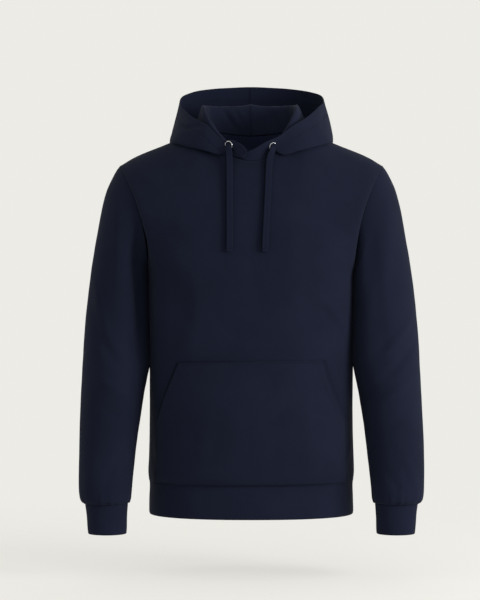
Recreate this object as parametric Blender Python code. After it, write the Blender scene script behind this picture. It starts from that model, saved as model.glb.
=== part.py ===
"""Pullover hoodie of brushed fleece, filled out as if worn, in the pieces that it is sewn from.

Frame: metres, +Z up, the front faces -Y and the wearer's left side is +X. The origin is the
middle of the neck opening, level with the neck ends of the shoulder seams, where a wearer
carries the garment.

Every cloth piece is a wall between an outer surface and an inner one. A surface is a function
of two numbers from 0 to 1 that is worked out from the named sizes and the short tables below.
"""

import math
from typing import Callable, NamedTuple

import bmesh
import bpy
from mathutils import Vector

MM = 0.001
SEAM_GAP = 0.3 * MM
HALF_GAP = SEAM_GAP / 2
ARMHOLE_GAP = 0.54 * MM  # wider, as the sleeve's first section is curved
POCKET_GAP = 0.45 * MM   # wider, as the pocket and the front are faceted differently

FLEECE_WALL = 2.4 * MM
BAND_WALL = 3.0 * MM
HOOD_WALL = 3.0 * MM
POCKET_WALL = 2.4 * MM

# Heights of the seams and edges.
UNDERARM_Z = -0.258
WAIST_SEAM_Z = -0.634
HEM_Z = -0.690
CUFF_SEAM_Z = -0.6665

# Neck seam: an oval seen from above, lower in front.
NECK_HALF_WIDTH = 0.090
NECK_FRONT = 0.095
NECK_BACK = 0.0675
NECK_DROP_FRONT = 0.0665
NECK_DROP_BACK = 0.009
NECK_ROUNDNESS = 2.2

# Shoulder seam, from the neck to the top of the armhole.
SHOULDER_END_X = 0.2362
NECK_COLUMN = 0.28       # how far across a panel the neck seam meets the shoulder seam
NECK_SHARE = 8 / 15      # share of a panel's columns that end at the neck seam
PROFILE_POWER = 2.35     # how the chest and back round over to the shoulders, 2 is an ellipse

# How the armhole edge pulls the chest and back surface with it, across a panel.
EDGE_PULL_DEPTH = 3.0
EDGE_PULL_WIDTH = 2.0
LOWER_ROWS = 0.5         # share of a body panel's rows that lie below the underarm
BODY_ROWS = 20           # faces up a panel and round a sleeve, so that both meet at the armhole


class ShoulderPoint(NamedTuple):
    """A point of the shoulder line."""

    x: float
    z: float


class BodySection(NamedTuple):
    """A level section of the body below the underarm."""

    z: float
    half_width: float
    front: float
    back: float
    power: float         # 2 is an ellipse, more is squarer


class SleeveSection(NamedTuple):
    """An oval section of a sleeve, between its outer and its inner line."""

    outer_x: float
    outer_z: float
    inner_x: float
    inner_z: float
    middle_y: float
    front: float
    back: float
    bow: float


class BandSection(NamedTuple):
    """A level section of a cuff."""

    z: float
    outer_x: float
    inner_x: float
    middle_y: float
    depth: float


class HoodSection(NamedTuple):
    """An upright section of the hood, by its angle round the neck from the centre front.

    The cloth rises from the neck seam to the fold, drops to the bottom of the bag and comes up
    again to the rim of the face opening.
    """

    angle: float
    fold_r: float
    fold_z: float
    fold_half: float
    bag_r: float
    bag_z: float
    rim_r: float
    rim_z: float
    uneven: float        # how much higher the rim lies on the wearer's right side


class CordPoint(NamedTuple):
    """A point of a drawcord's middle line."""

    x: float
    y: float
    z: float
    width: float
    thickness: float
    slope: float         # how far the braid's width turns from x towards y


SHOULDER_LINE = (
    ShoulderPoint(x=0.0900, z=0.0000),
    ShoulderPoint(x=0.1000, z=-0.0035),
    ShoulderPoint(x=0.1250, z=-0.0185),
    ShoulderPoint(x=0.1547, z=-0.0310),
    ShoulderPoint(x=0.2076, z=-0.0526),
    ShoulderPoint(x=0.2362, z=-0.0695),
)

BODY = (
    BodySection(z=-0.634, half_width=0.1828, front=0.1230, back=0.1170, power=2.35),
    BodySection(z=-0.628, half_width=0.1844, front=0.1260, back=0.1200, power=2.35),
    BodySection(z=-0.616, half_width=0.1851, front=0.1280, back=0.1220, power=2.36),
    BodySection(z=-0.590, half_width=0.1838, front=0.1280, back=0.1215, power=2.38),
    BodySection(z=-0.500, half_width=0.1822, front=0.1265, back=0.1190, power=2.45),
    BodySection(z=-0.417, half_width=0.1828, front=0.1250, back=0.1180, power=2.58),
    BodySection(z=-0.330, half_width=0.1834, front=0.1235, back=0.1180, power=2.80),
    BodySection(z=-0.258, half_width=0.1840, front=0.1225, back=0.1180, power=3.05),
)

SLEEVE = (
    SleeveSection(0.2362, -0.0695, 0.1840, -0.2580, 0.000, 0.0750, 0.0750, 0.0145),
    SleeveSection(0.2425, -0.0775, 0.1852, -0.2630, 0.000, 0.0755, 0.0758, 0.0130),
    SleeveSection(0.2510, -0.0940, 0.1856, -0.2690, 0.000, 0.0760, 0.0765, 0.0115),
    SleeveSection(0.2595, -0.1120, 0.1854, -0.2770, 0.000, 0.0765, 0.0770, 0.0100),
    SleeveSection(0.2690, -0.1480, 0.1850, -0.2920, -0.001, 0.0760, 0.0770, 0.0085),
    SleeveSection(0.2784, -0.2020, 0.1847, -0.3180, -0.003, 0.0740, 0.0760, 0.0075),
    SleeveSection(0.2870, -0.2550, 0.1844, -0.3480, -0.007, 0.0715, 0.0735, 0.0070),
    SleeveSection(0.2940, -0.3120, 0.1841, -0.3820, -0.013, 0.0690, 0.0705, 0.0060),
    SleeveSection(0.2985, -0.3700, 0.1841, -0.4150, -0.021, 0.0665, 0.0670, 0.0045),
    SleeveSection(0.3010, -0.4300, 0.1875, -0.4500, -0.031, 0.0640, 0.0625, 0.0025),
    SleeveSection(0.3030, -0.4900, 0.1935, -0.4940, -0.042, 0.0600, 0.0575, 0.001),
    SleeveSection(0.3043, -0.5450, 0.2008, -0.5450, -0.054, 0.0555, 0.0525, 0.000),
    SleeveSection(0.3047, -0.5950, 0.2060, -0.5950, -0.065, 0.0510, 0.0480, 0.000),
    SleeveSection(0.3041, -0.6300, 0.2093, -0.6300, -0.073, 0.0480, 0.0450, 0.000),
    SleeveSection(0.3028, -0.6500, 0.2110, -0.6500, -0.077, 0.0460, 0.0430, 0.000),
    SleeveSection(0.2996, -0.6610, 0.2136, -0.6610, -0.079, 0.0425, 0.0400, 0.000),
    SleeveSection(0.2930, -0.6665, 0.2168, -0.6665, -0.080, 0.0365, 0.0345, 0.000),
)

CUFF = (
    BandSection(z=-0.6665, outer_x=0.2926, inner_x=0.2170, middle_y=-0.0800, depth=0.0350),
    BandSection(z=-0.6770, outer_x=0.2908, inner_x=0.2175, middle_y=-0.0812, depth=0.0335),
    BandSection(z=-0.6880, outer_x=0.2893, inner_x=0.2179, middle_y=-0.0822, depth=0.0325),
    BandSection(z=-0.7140, outer_x=0.2876, inner_x=0.2186, middle_y=-0.0840, depth=0.0318),
    BandSection(z=-0.7235, outer_x=0.2866, inner_x=0.2194, middle_y=-0.0845, depth=0.0308),
)

WAISTBAND = (
    BodySection(z=-0.634, half_width=0.1826, front=0.1228, back=0.1168, power=2.35),
    BodySection(z=-0.642, half_width=0.1822, front=0.1228, back=0.1163, power=2.35),
    BodySection(z=-0.665, half_width=0.1830, front=0.1238, back=0.1170, power=2.35),
    BodySection(z=-0.685, half_width=0.1834, front=0.1244, back=0.1175, power=2.35),
    BodySection(z=-0.690, half_width=0.1826, front=0.1236, back=0.1168, power=2.35),
)

HOOD = (
    HoodSection(-12, 0.0955, -0.0600, 0.0000, 0.0985, -0.0570, 0.0960, -0.0550, 0.0000),
    HoodSection(0, 0.0955, -0.0600, 0.0000, 0.0985, -0.0570, 0.0985, -0.0480, 0.0000),
    HoodSection(17, 0.0955, -0.0560, 0.0000, 0.0990, -0.0570, 0.1005, -0.0316, 0.0000),
    HoodSection(24, 0.0950, -0.0324, 0.0005, 0.1000, -0.0560, 0.1015, -0.0264, -0.0045),
    HoodSection(33, 0.0930, -0.0239, 0.0020, 0.1055, -0.0530, 0.1020, -0.0171, -0.0080),
    HoodSection(42, 0.0925, -0.0098, 0.0030, 0.1140, -0.0480, 0.1025, -0.0087, -0.0020),
    HoodSection(50, 0.0930, 0.0054, 0.0040, 0.1210, -0.0450, 0.1040, -0.0033, 0.0040),
    HoodSection(60, 0.0940, 0.0219, 0.0050, 0.1310, -0.0395, 0.1065, 0.0054, 0.0020),
    HoodSection(75, 0.0950, 0.0368, 0.0065, 0.1440, -0.0325, 0.1120, 0.0215, -0.0030),
    HoodSection(90, 0.0955, 0.0410, 0.0080, 0.1460, -0.0258, 0.1200, 0.0378, -0.0055),
    HoodSection(110, 0.0965, 0.0430, 0.0085, 0.1540, -0.0410, 0.1380, 0.0537, -0.0045),
    HoodSection(127, 0.0965, 0.0450, 0.0085, 0.1590, -0.0760, 0.1540, 0.0709, -0.0020),
    HoodSection(145, 0.0930, 0.0475, 0.0085, 0.1530, -0.1160, 0.1570, 0.0823, 0.0000),
    HoodSection(160, 0.0890, 0.0495, 0.0085, 0.1430, -0.1390, 0.1540, 0.0876, 0.0000),
    HoodSection(180, 0.0870, 0.0505, 0.0085, 0.1370, -0.1500, 0.1500, 0.0903, 0.0000),
)
HOOD_BACK = 180.0        # the angle of the centre back seam
HOOD_FRONT_EDGE = {"left": -11.0, "right": 5.0}   # the right front lies over the left one
HOOD_LAP = {"left": 0.0, "right": 7.0 * MM}       # how far out it lies
HOOD_LIFT = {"left": 0.0, "right": 4.5 * MM}      # how much higher its lower edge is
HOOD_LAP_ANGLE = 30.0
HOOD_TIP_ANGLE = 7.0     # the front edge's corners are rounded over this much
HOOD_TIP_ROUND = 0.9     # 1 rounds the edge to a point
HOOD_STAND_ANGLE = 20.0  # the hood simply stands up as far round as this
HOOD_FOLD_ANGLE = 44.0   # and is fully folded from here on
HOOD_SEAT = 0.7 * MM     # how far the hood's lower edge stands above the neck seam
HOOD_SHIFT = -0.004      # the fold stands a little to the wearer's right
HOOD_FOLD_SHARE = 0.31   # how far up the cloth the fold lies
HOOD_EDGE = 0.02         # the edges take their direction from this far inside
HOOD_BACK_START = 60.0   # from here the hood is shaped more and more as at its centre back
BAG_RADIUS = 0.011       # how round the bottom of the bag is, where the bag is deep
BAG_START = 0.004        # how far outside the neck seam the bag begins to open
BAG_GROWTH = 0.030       # how much farther out it is fully open
BAG_TILT = 0.0055        # over the shoulders the bag's bottom is this much higher on the inside
BAG_FULLNESS = 0.022     # how far the bag's outside bulges at the centre back
HOOD_COLUMN_POWER = 1.25 # closer columns towards the front edge

# Kangaroo pocket, a half outline on the front panel.
POCKET_TOP_Z = -0.417
POCKET_TOP_HALF = 0.129
POCKET_SLANT_Z = -0.527
POCKET_SLANT_HALF = 0.1665
POCKET_BOTTOM_HALF = 0.1695
POCKET_BOTTOM_Z = WAIST_SEAM_Z + 0.004
POCKET_FULLNESS = 0.0115
HAND_OPENING_GAPE = 0.0105
POCKET_SPREAD = math.radians(70)   # a wider angle gives finer columns at the pocket's sides

EYELET_ANGLE = {"left": 22.3, "right": 23.0}
EYELET_Z = {"left": -0.0410, "right": -0.0385}
EYELET_OUTER = 0.0065
EYELET_HOLE = 0.0030
EYELET_HEIGHT = 0.0016
EYELET_STEPS = 16

# Drawcords: flat braid from the eyelet's hole down over the chest to a stitched, flared end.
CORD_ROUTE = {
    "left": (
        CordPoint(0.0380, -0.0928, -0.0414, 0.0044, 0.0026, 0.49),
        CordPoint(0.0384, -0.0962, -0.0432, 0.0072, 0.0028, 0.47),
        CordPoint(0.0368, -0.0976, -0.0475, 0.0110, 0.0030, 0.36),
        CordPoint(0.0340, -0.0969, -0.0535, 0.0128, 0.0032, 0.20),
        CordPoint(0.0318, -0.0965, -0.0610, 0.0130, 0.0032, 0.10),
        CordPoint(0.0304, -0.0998, -0.0720, 0.0130, 0.0032, 0.06),
        CordPoint(0.0293, -0.1060, -0.0900, 0.0130, 0.0032, 0.05),
        CordPoint(0.0281, -0.1132, -0.1180, 0.0130, 0.0032, 0.04),
        CordPoint(0.0266, -0.1187, -0.1480, 0.0130, 0.0032, 0.03),
        CordPoint(0.0249, -0.1222, -0.1790, 0.0130, 0.0032, 0.02),
        CordPoint(0.0236, -0.1243, -0.2080, 0.0130, 0.0032, 0.01),
        CordPoint(0.0230, -0.1249, -0.2225, 0.0128, 0.0032, 0.01),
        CordPoint(0.0228, -0.1250, -0.2270, 0.0118, 0.0026, 0.01),
        CordPoint(0.0226, -0.1252, -0.2320, 0.0136, 0.0034, 0.01),
    ),
    "right": (
        CordPoint(-0.0402, -0.0948, -0.0389, 0.0044, 0.0026, -0.48),
        CordPoint(-0.0408, -0.0983, -0.0408, 0.0072, 0.0028, -0.46),
        CordPoint(-0.0406, -0.0998, -0.0452, 0.0110, 0.0030, -0.36),
        CordPoint(-0.0400, -0.0992, -0.0515, 0.0128, 0.0032, -0.22),
        CordPoint(-0.0395, -0.0980, -0.0600, 0.0130, 0.0032, -0.12),
        CordPoint(-0.0391, -0.0996, -0.0720, 0.0130, 0.0032, -0.08),
        CordPoint(-0.0388, -0.1054, -0.0900, 0.0130, 0.0032, -0.06),
        CordPoint(-0.0387, -0.1128, -0.1180, 0.0130, 0.0032, -0.05),
        CordPoint(-0.0386, -0.1184, -0.1480, 0.0130, 0.0032, -0.04),
        CordPoint(-0.0385, -0.1220, -0.1790, 0.0130, 0.0032, -0.03),
        CordPoint(-0.0386, -0.1241, -0.2080, 0.0130, 0.0032, -0.02),
        CordPoint(-0.0388, -0.1248, -0.2225, 0.0128, 0.0032, -0.02),
        CordPoint(-0.0390, -0.1249, -0.2270, 0.0118, 0.0026, -0.02),
        CordPoint(-0.0392, -0.1251, -0.2320, 0.0136, 0.0034, -0.02),
    ),
}
CORD_STEPS = 2           # sections to each stretch of the route
CORD_SIDES = 8
CORD_POWER = 4.0         # 2 would be an oval section, more is squarer

SIDES = {"left": 1.0, "right": -1.0}
Surface = Callable[[float, float], Vector]


def signed_power(value: float, power: float) -> float:
    """Raise a size to a power and keep its sign."""
    return math.copysign(abs(value) ** power, value)


def mix(start: float, end: float, share: float) -> float:
    """Blend two numbers."""
    return start + (end - start) * share


def clamp(value: float, low: float = 0.0, high: float = 1.0) -> float:
    """Keep a number between two others."""
    return min(max(value, low), high)


class Track:
    """A smooth curve through a column of numbers, which never overshoots them."""

    def __init__(self, stations: list[float], values: list[float]) -> None:
        self.stations = stations
        self.values = values
        self.slopes = self._slopes()

    def _slopes(self) -> list[float]:
        """Work out the slope at each station, as the harmonic mean of its neighbours' slopes."""
        steps = [b - a for a, b in zip(self.stations, self.stations[1:])]
        rises = [(b - a) / step for a, b, step in zip(self.values, self.values[1:], steps)]
        slopes = [rises[0]]
        for before, after in zip(rises, rises[1:]):
            same_way = before * after > 0
            slopes.append(2 * before * after / (before + after) if same_way else 0.0)
        slopes.append(rises[-1])
        return slopes

    def __call__(self, at: float) -> float:
        """Read the curve at a place."""
        place = clamp(at, self.stations[0], self.stations[-1])
        index = 0
        while index < len(self.stations) - 2 and place > self.stations[index + 1]:
            index += 1
        step = self.stations[index + 1] - self.stations[index]
        t = (place - self.stations[index]) / step
        low, high = self.values[index], self.values[index + 1]
        return (low * (1 + 2 * t) * (1 - t) ** 2 + high * t * t * (3 - 2 * t)
                + step * self.slopes[index] * t * (1 - t) ** 2
                - step * self.slopes[index + 1] * t * t * (1 - t))


def tracks(table: tuple, station: str | None = None) -> dict[str, Track]:
    """Make a smooth curve for each column of a table, by row number or by one of its columns."""
    stations = [getattr(row, station) for row in table] if station else list(range(len(table)))
    return {name: Track(stations, [getattr(row, name) for row in table])
            for name in table[0]._fields if name != station}


SHOULDER = tracks(SHOULDER_LINE, "x")
BODY_TRACKS = tracks(tuple(sorted(BODY)), "z")
BAND_TRACKS = tracks(tuple(sorted(WAISTBAND)), "z")
SLEEVE_TRACKS = tracks(SLEEVE)
CUFF_TRACKS = tracks(CUFF)
HOOD_TRACKS = tracks(HOOD + (HOOD[-2]._replace(angle=2 * HOOD_BACK - HOOD[-2].angle),), "angle")


def level_section(columns: dict[str, Track], turn: float, z: float) -> Vector:
    """A point on a level section of the body, by its turn from the centre front in radians."""
    depth = columns["front"](z) if math.cos(turn) > 0 else columns["back"](z)
    power = 2 / columns["power"](z)
    return Vector((columns["half_width"](z) * signed_power(math.sin(turn), power),
                   -depth * signed_power(math.cos(turn), power), z))


def neck_seam(angle: float) -> Vector:
    """A point of the neck seam, by its angle from the centre front in degrees."""
    turn = math.radians(angle)
    depth = NECK_FRONT if math.cos(turn) > 0 else NECK_BACK
    drop = NECK_DROP_FRONT if math.cos(turn) > 0 else NECK_DROP_BACK
    reach = (abs(math.sin(turn)) / NECK_HALF_WIDTH) ** NECK_ROUNDNESS
    reach += (abs(math.cos(turn)) / depth) ** NECK_ROUNDNESS
    radius = reach ** (-1 / NECK_ROUNDNESS)
    height = -drop * abs(math.cos(turn)) ** NECK_ROUNDNESS
    return Vector((radius * math.sin(turn), -radius * math.cos(turn), height))


def sleeve_ring(at: float, turn: float) -> Vector:
    """A point of a left sleeve section, by its turn from the outer line towards the front."""
    column = {name: track(at) for name, track in SLEEVE_TRACKS.items()}
    outer = Vector((column["outer_x"], column["middle_y"], column["outer_z"]))
    inner = Vector((column["inner_x"], column["middle_y"], column["inner_z"]))
    depth = column["front"] if math.sin(turn) > 0 else column["back"]
    point = (outer + inner) / 2 + (outer - inner) / 2 * math.cos(turn)
    point.y -= depth * math.sin(turn)
    point.x -= column["bow"] * math.sin(turn) ** 2
    return point


def armhole_outward(turn: float) -> Vector:
    """The direction away from the middle of the armhole, in its own plane."""
    section = SLEEVE[0]
    along = Vector((section.outer_x - section.inner_x, 0, section.outer_z - section.inner_z))
    across = Vector((0, -1, 0))
    return (along.normalized() * math.cos(turn) + across * math.sin(turn)).normalized()


def upper_body(across: float, rise: float, facing: float) -> Vector:
    """A point of the right-hand (+X) half of a body panel above the underarm.

    Args:
        across: 0 at the centre line, 1 at the armhole.
        rise: 0 at the underarm, 1 at the neck or shoulder seam.
        facing: 1 for the front, -1 for the back.
    """
    turn = across * math.pi / 2
    start = level_section(BODY_TRACKS, turn if facing > 0 else math.pi - turn, UNDERARM_Z)
    depth = abs(start.y)
    fullness = 1.0
    if across < NECK_COLUMN:
        angle = 90 * across / NECK_COLUMN
        end = neck_seam(angle if facing > 0 else 180 - angle)
        reach = min(abs(end.y) / max(depth, MM), 1.0)
        fullness = (1 - reach ** PROFILE_POWER) ** (1 / PROFILE_POWER)
    else:
        widest = mix(math.sin(turn) ** (2 / PROFILE_POWER), across, 0.5)
        narrowest = mix(math.sin(NECK_COLUMN * math.pi / 2) ** (2 / PROFILE_POWER),
                        NECK_COLUMN, 0.5)
        share = (widest - narrowest) / (1 - narrowest)
        x = mix(NECK_HALF_WIDTH, SHOULDER_END_X, share)
        end = Vector((x, 0, SHOULDER["z"](x)))
    climb = math.sin(rise * math.pi / 2) ** 2
    arc = (1 - (climb * fullness) ** PROFILE_POWER) ** (1 / PROFILE_POWER)
    bend = math.sin(rise * math.pi)
    edge = SLEEVE[0]
    x = mix(start.x, end.x, climb) - edge.bow * bend ** 2 * across ** EDGE_PULL_WIDTH
    y = depth * arc + edge.front * bend * across ** EDGE_PULL_DEPTH
    return Vector((x, -facing * y, mix(start.z, end.z, climb)))


def body_panel(facing: float) -> Surface:
    """The outer surface of the front (1) or the back (-1), from side to side and hem to neck."""
    def surface(u: float, v: float) -> Vector:
        share = abs(2 * u - 1)
        side = math.copysign(1.0, 2 * u - 1)
        if share < NECK_SHARE:
            across = NECK_COLUMN * share / NECK_SHARE
        else:
            across = mix(NECK_COLUMN, 1.0, (share - NECK_SHARE) / (1 - NECK_SHARE))
        if v < LOWER_ROWS:
            z = mix(WAIST_SEAM_Z + HALF_GAP, UNDERARM_Z, (v / LOWER_ROWS) ** 1.5)
            turn = across * math.pi / 2
            point = level_section(BODY_TRACKS, turn if facing > 0 else math.pi - turn, z)
        else:
            point = upper_body(across, (v - LOWER_ROWS) / (1 - LOWER_ROWS), facing)
        point.x *= side
        return point
    return surface


def numeric_normal(surface: Surface, u: float, v: float) -> Vector:
    """The direction at right angles to a surface, on the side of du x dv."""
    step = 0.002
    across = surface(min(u + step, 1), v) - surface(max(u - step, 0), v)
    along = surface(u, min(v + step, 1)) - surface(u, max(v - step, 0))
    return across.cross(along).normalized()


class Wall:
    """A wall of cloth: an outer surface, its direction outwards and its thickness."""

    def __init__(self, outer: Surface, thickness: float, outward: Surface | None = None,
                 finish: Callable[[Vector, float, float], Vector] | None = None) -> None:
        self.outer = outer
        self.thickness = thickness
        self.outward = outward or (lambda u, v: numeric_normal(outer, u, v))
        self.finish = finish or (lambda point, u, v: point)

    def point(self, u: float, v: float, depth: float = 0.0) -> Vector:
        """A point of the wall, a depth below its outer surface."""
        point = self.outer(u, v)
        if depth:
            point = point - self.outward(u, v) * depth
        return self.finish(point, u, v)

    def mesh(self, name: str, columns: int, rows: int, tube: bool = False) -> bpy.types.Mesh:
        """Build the closed wall from a grid that is thickened by an extrusion.

        Args:
            name: The mesh's name.
            columns: Faces across, along u.
            rows: Faces up, along v.
            tube: Whether u = 1 meets u = 0.
        """
        bm = bmesh.new()
        bmesh.ops.create_grid(bm, x_segments=columns, y_segments=rows, size=0.5)
        place_u = bm.verts.layers.float.new("u")
        place_v = bm.verts.layers.float.new("v")
        for vert in bm.verts:
            vert[place_u] = clamp(vert.co.x + 0.5)
            vert[place_v] = clamp(vert.co.y + 0.5)
            vert.co = self.point(vert[place_u], vert[place_v])
        if tube:
            bmesh.ops.remove_doubles(bm, verts=bm.verts, dist=1e-6)
        inner = bmesh.ops.extrude_face_region(bm, geom=bm.faces[:], use_keep_orig=True)["geom"]
        for vert in (item for item in inner if isinstance(item, bmesh.types.BMVert)):
            vert.co = self.point(vert[place_u], vert[place_v], self.thickness)
        bmesh.ops.triangulate(bm, faces=bm.faces[:])
        bmesh.ops.recalc_face_normals(bm, faces=bm.faces[:])
        mesh = bpy.data.meshes.new(name)
        bm.to_mesh(mesh)
        bm.free()
        return mesh


def material(name: str, colour: tuple[float, float, float], roughness: float,
             metallic: float = 0.0) -> bpy.types.Material:
    """Make a plain Principled material."""
    made = bpy.data.materials.new(name)
    made.use_nodes = True
    shader = made.node_tree.nodes["Principled BSDF"]
    shader.inputs["Base Color"].default_value = (*colour, 1)
    shader.inputs["Roughness"].default_value = roughness
    shader.inputs["Metallic"].default_value = metallic
    return made


def add(name: str, mesh: bpy.types.Mesh, finish: bpy.types.Material) -> bpy.types.Object:
    """Put a mesh into the scene as one named piece."""
    piece = bpy.data.objects.new(name, mesh)
    mesh.materials.append(finish)
    bpy.context.scene.collection.objects.link(piece)
    mesh.shade_smooth()
    mesh.set_sharp_from_angle(angle=math.radians(50))
    return piece


def body_wall(facing: float) -> Wall:
    """The wall of the front (1) or the back (-1)."""
    outer = body_panel(facing)

    def outward(u: float, v: float) -> Vector:
        direction = numeric_normal(outer, u, v) * facing
        if v <= 0:
            direction.z = 0
        at_armhole = (u <= 0 or u >= 1) and v >= LOWER_ROWS
        if at_armhole:
            rise = (v - LOWER_ROWS) / (1 - LOWER_ROWS)
            direction = armhole_outward(math.pi * (1 - rise))
            direction.y *= facing
            direction.x *= 1 if u >= 1 else -1
        return direction.normalized()

    def clear_of_seams(point: Vector, u: float, v: float) -> Vector:
        if facing * point.y > -HALF_GAP:
            point.y = -facing * HALF_GAP
        return point

    return Wall(outer, FLEECE_WALL, outward, clear_of_seams)


def sleeve_wall(side: str) -> Wall:
    """The wall of a sleeve, from the armhole to the cuff seam."""
    hand = SIDES[side]
    last = len(SLEEVE) - 1
    section = SLEEVE[0]
    axis = Vector((section.outer_z - section.inner_z, 0, section.inner_x - section.outer_x))
    step_off = axis.normalized() * ARMHOLE_GAP

    def outer(u: float, v: float) -> Vector:
        point = sleeve_ring(v * last, u * 2 * math.pi)
        point += step_off * (1 - min(v * last, 1))
        point.z = max(point.z, CUFF_SEAM_Z + HALF_GAP)
        point.x *= hand
        return point

    def outward(u: float, v: float) -> Vector:
        if v <= 0:
            direction = armhole_outward(u * 2 * math.pi)
            direction.x *= hand
            return direction
        direction = numeric_normal(outer, u, v) * hand
        if v >= 1:
            direction.z = 0
        return direction.normalized()

    return Wall(outer, FLEECE_WALL, outward)


def cuff_wall(side: str) -> Wall:
    """The wall of a cuff."""
    hand = SIDES[side]
    last = len(CUFF) - 1

    def outer(u: float, v: float) -> Vector:
        column = {name: track(v * last) for name, track in CUFF_TRACKS.items()}
        turn = u * 2 * math.pi
        middle = (column["outer_x"] + column["inner_x"]) / 2
        half = (column["outer_x"] - column["inner_x"]) / 2
        return Vector(((middle + half * math.cos(turn)) * hand,
                       column["middle_y"] - column["depth"] * math.sin(turn),
                       min(column["z"], CUFF_SEAM_Z - HALF_GAP)))

    def outward(u: float, v: float) -> Vector:
        direction = numeric_normal(outer, u, v) * hand
        direction.z = 0
        return direction.normalized()

    return Wall(outer, BAND_WALL, outward)


def waistband_wall() -> Wall:
    """The wall of the waistband."""
    def outer(u: float, v: float) -> Vector:
        z = mix(HEM_Z, WAIST_SEAM_Z - HALF_GAP, v)
        return level_section(BAND_TRACKS, u * 2 * math.pi, z)

    def outward(u: float, v: float) -> Vector:
        direction = numeric_normal(outer, u, v)
        direction.z = 0
        return direction.normalized()

    return Wall(outer, BAND_WALL, outward)


def hood_controls(side: str, angle: float) -> list[tuple[float, float]]:
    """The control points (radius, height) of the hood's upright section at an angle.

    In front the cloth simply stands up from the seam to the rim. Further round it is folded:
    up to the fold, down to the bottom of the bag and up to the rim.
    """
    column = {name: track(angle) for name, track in HOOD_TRACKS.items()}
    seam = neck_seam(angle)
    lap = clamp(1 - angle / HOOD_LAP_ANGLE)
    start = (math.hypot(seam.x, seam.y), seam.z + HOOD_SEAT + HOOD_LIFT[side] * lap)
    end = (column["rim_r"], column["rim_z"] + (column["uneven"] if side == "right" else 0.0))
    fold_z, bag_z = column["fold_z"], column["bag_z"]
    bag = BAG_RADIUS * clamp((column["bag_r"] - start[0] - BAG_START) / BAG_GROWTH)
    back = clamp((angle - HOOD_BACK_START) / (HOOD_BACK - HOOD_BACK_START))
    fold_inner = column["fold_r"] - 0.7 * column["fold_half"]
    fold_outer = column["fold_r"] + 0.9 * column["fold_half"]
    bag_inner, bag_outer = column["bag_r"] - bag, column["bag_r"] + 0.5 * bag
    full = BAG_FULLNESS * back + 0.35 * bag
    folded = [
        start,
        (mix(start[0], fold_inner, 0.5), mix(start[1], fold_z, 0.5)),
        (fold_inner, fold_z),
        (fold_outer, fold_z),
        (mix(fold_outer, bag_inner, mix(0.22, 0.5, back)), mix(fold_z, bag_z, mix(0.42, 0.5, back))),
        (bag_inner, bag_z + BAG_TILT * (1 - back)),
        (bag_outer, bag_z),
        (mix(bag_outer, end[0], 0.5) + full, mix(bag_z, end[1], 0.5)),
        end,
    ]
    share = clamp((angle - HOOD_STAND_ANGLE) / (HOOD_FOLD_ANGLE - HOOD_STAND_ANGLE))
    share = share * share * (3 - 2 * share)
    last = len(folded) - 1
    straight = [(mix(start[0], end[0], i / last), mix(start[1], end[1], i / last))
                for i in range(last + 1)]
    controls = [(mix(s[0], f[0], share), mix(s[1], f[1], share))
                for s, f in zip(straight, folded)]
    tip = clamp(1 - (angle - HOOD_FRONT_EDGE[side]) / HOOD_TIP_ANGLE) * HOOD_TIP_ROUND
    middle = mix(start[1], end[1], 0.5)
    return [(r + HOOD_LAP[side] * lap, mix(middle, z, math.sqrt(1 - tip * tip)))
            for r, z in controls]


def spline(controls: list[tuple[float, float]], share: float) -> tuple[float, float]:
    """A point of the cubic B-spline that starts and ends at its outer control points."""
    padded = [controls[0]] * 2 + controls + [controls[-1]] * 2
    place = clamp(share) * (len(padded) - 3)
    index = min(int(place), len(padded) - 4)
    t = place - index
    weights = ((1 - t) ** 3 / 6, (3 * t ** 3 - 6 * t * t + 4) / 6,
               (-3 * t ** 3 + 3 * t * t + 3 * t + 1) / 6, t ** 3 / 6)
    near = padded[index:index + 4]
    return (sum(w * p[0] for w, p in zip(weights, near)),
            sum(w * p[1] for w, p in zip(weights, near)))


def hood_angle(side: str, u: float) -> float:
    """The angle round the neck at a share of the way from the front edge to the centre back."""
    return mix(HOOD_FRONT_EDGE[side], HOOD_BACK, u ** HOOD_COLUMN_POWER)


def hood_surface(side: str) -> Surface:
    """The outer surface of one half of the hood, from the front edge round to the centre back."""
    hand = SIDES[side]

    def outer(u: float, v: float) -> Vector:
        angle = hood_angle(side, u)
        radius, height = spline(hood_controls(side, angle), v)
        turn = math.radians(angle)
        sway = clamp(1 - abs(v - HOOD_FOLD_SHARE) / HOOD_FOLD_SHARE)
        lift = clamp((height - neck_seam(angle).z) / 0.05)
        x = radius * math.sin(turn) * hand + HOOD_SHIFT * sway * lift * abs(math.sin(turn))
        return Vector((x, -radius * math.cos(turn), height))
    return outer


def hood_wall(side: str) -> Wall:
    """The wall of one half of the hood."""
    hand = SIDES[side]
    outer = hood_surface(side)

    def outward(u: float, v: float) -> Vector:
        return numeric_normal(outer, u, clamp(v, HOOD_EDGE, 1 - HOOD_EDGE)) * hand

    def clear_of_seam(point: Vector, u: float, v: float) -> Vector:
        if hood_angle(side, u) > 90 and hand * point.x < HALF_GAP:
            point.x = hand * HALF_GAP
        return point

    return Wall(outer, HOOD_WALL, outward, clear_of_seam)


def front_at(x: float, z: float) -> Vector:
    """The point of the front panel below the underarm at a place seen from the front."""
    reach = clamp(abs(x) / BODY_TRACKS["half_width"](z))
    power = BODY_TRACKS["power"](z)
    depth = BODY_TRACKS["front"](z) * (1 - reach ** power) ** (1 / power)
    return Vector((x, -depth, z))


def front_direction(x: float, z: float) -> Vector:
    """The direction outwards from the front panel at a place seen from the front."""
    step = 0.5 * MM
    across = front_at(x + step, z) - front_at(x - step, z)
    up = front_at(x, z + step) - front_at(x, z - step)
    return across.cross(up).normalized()


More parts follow.
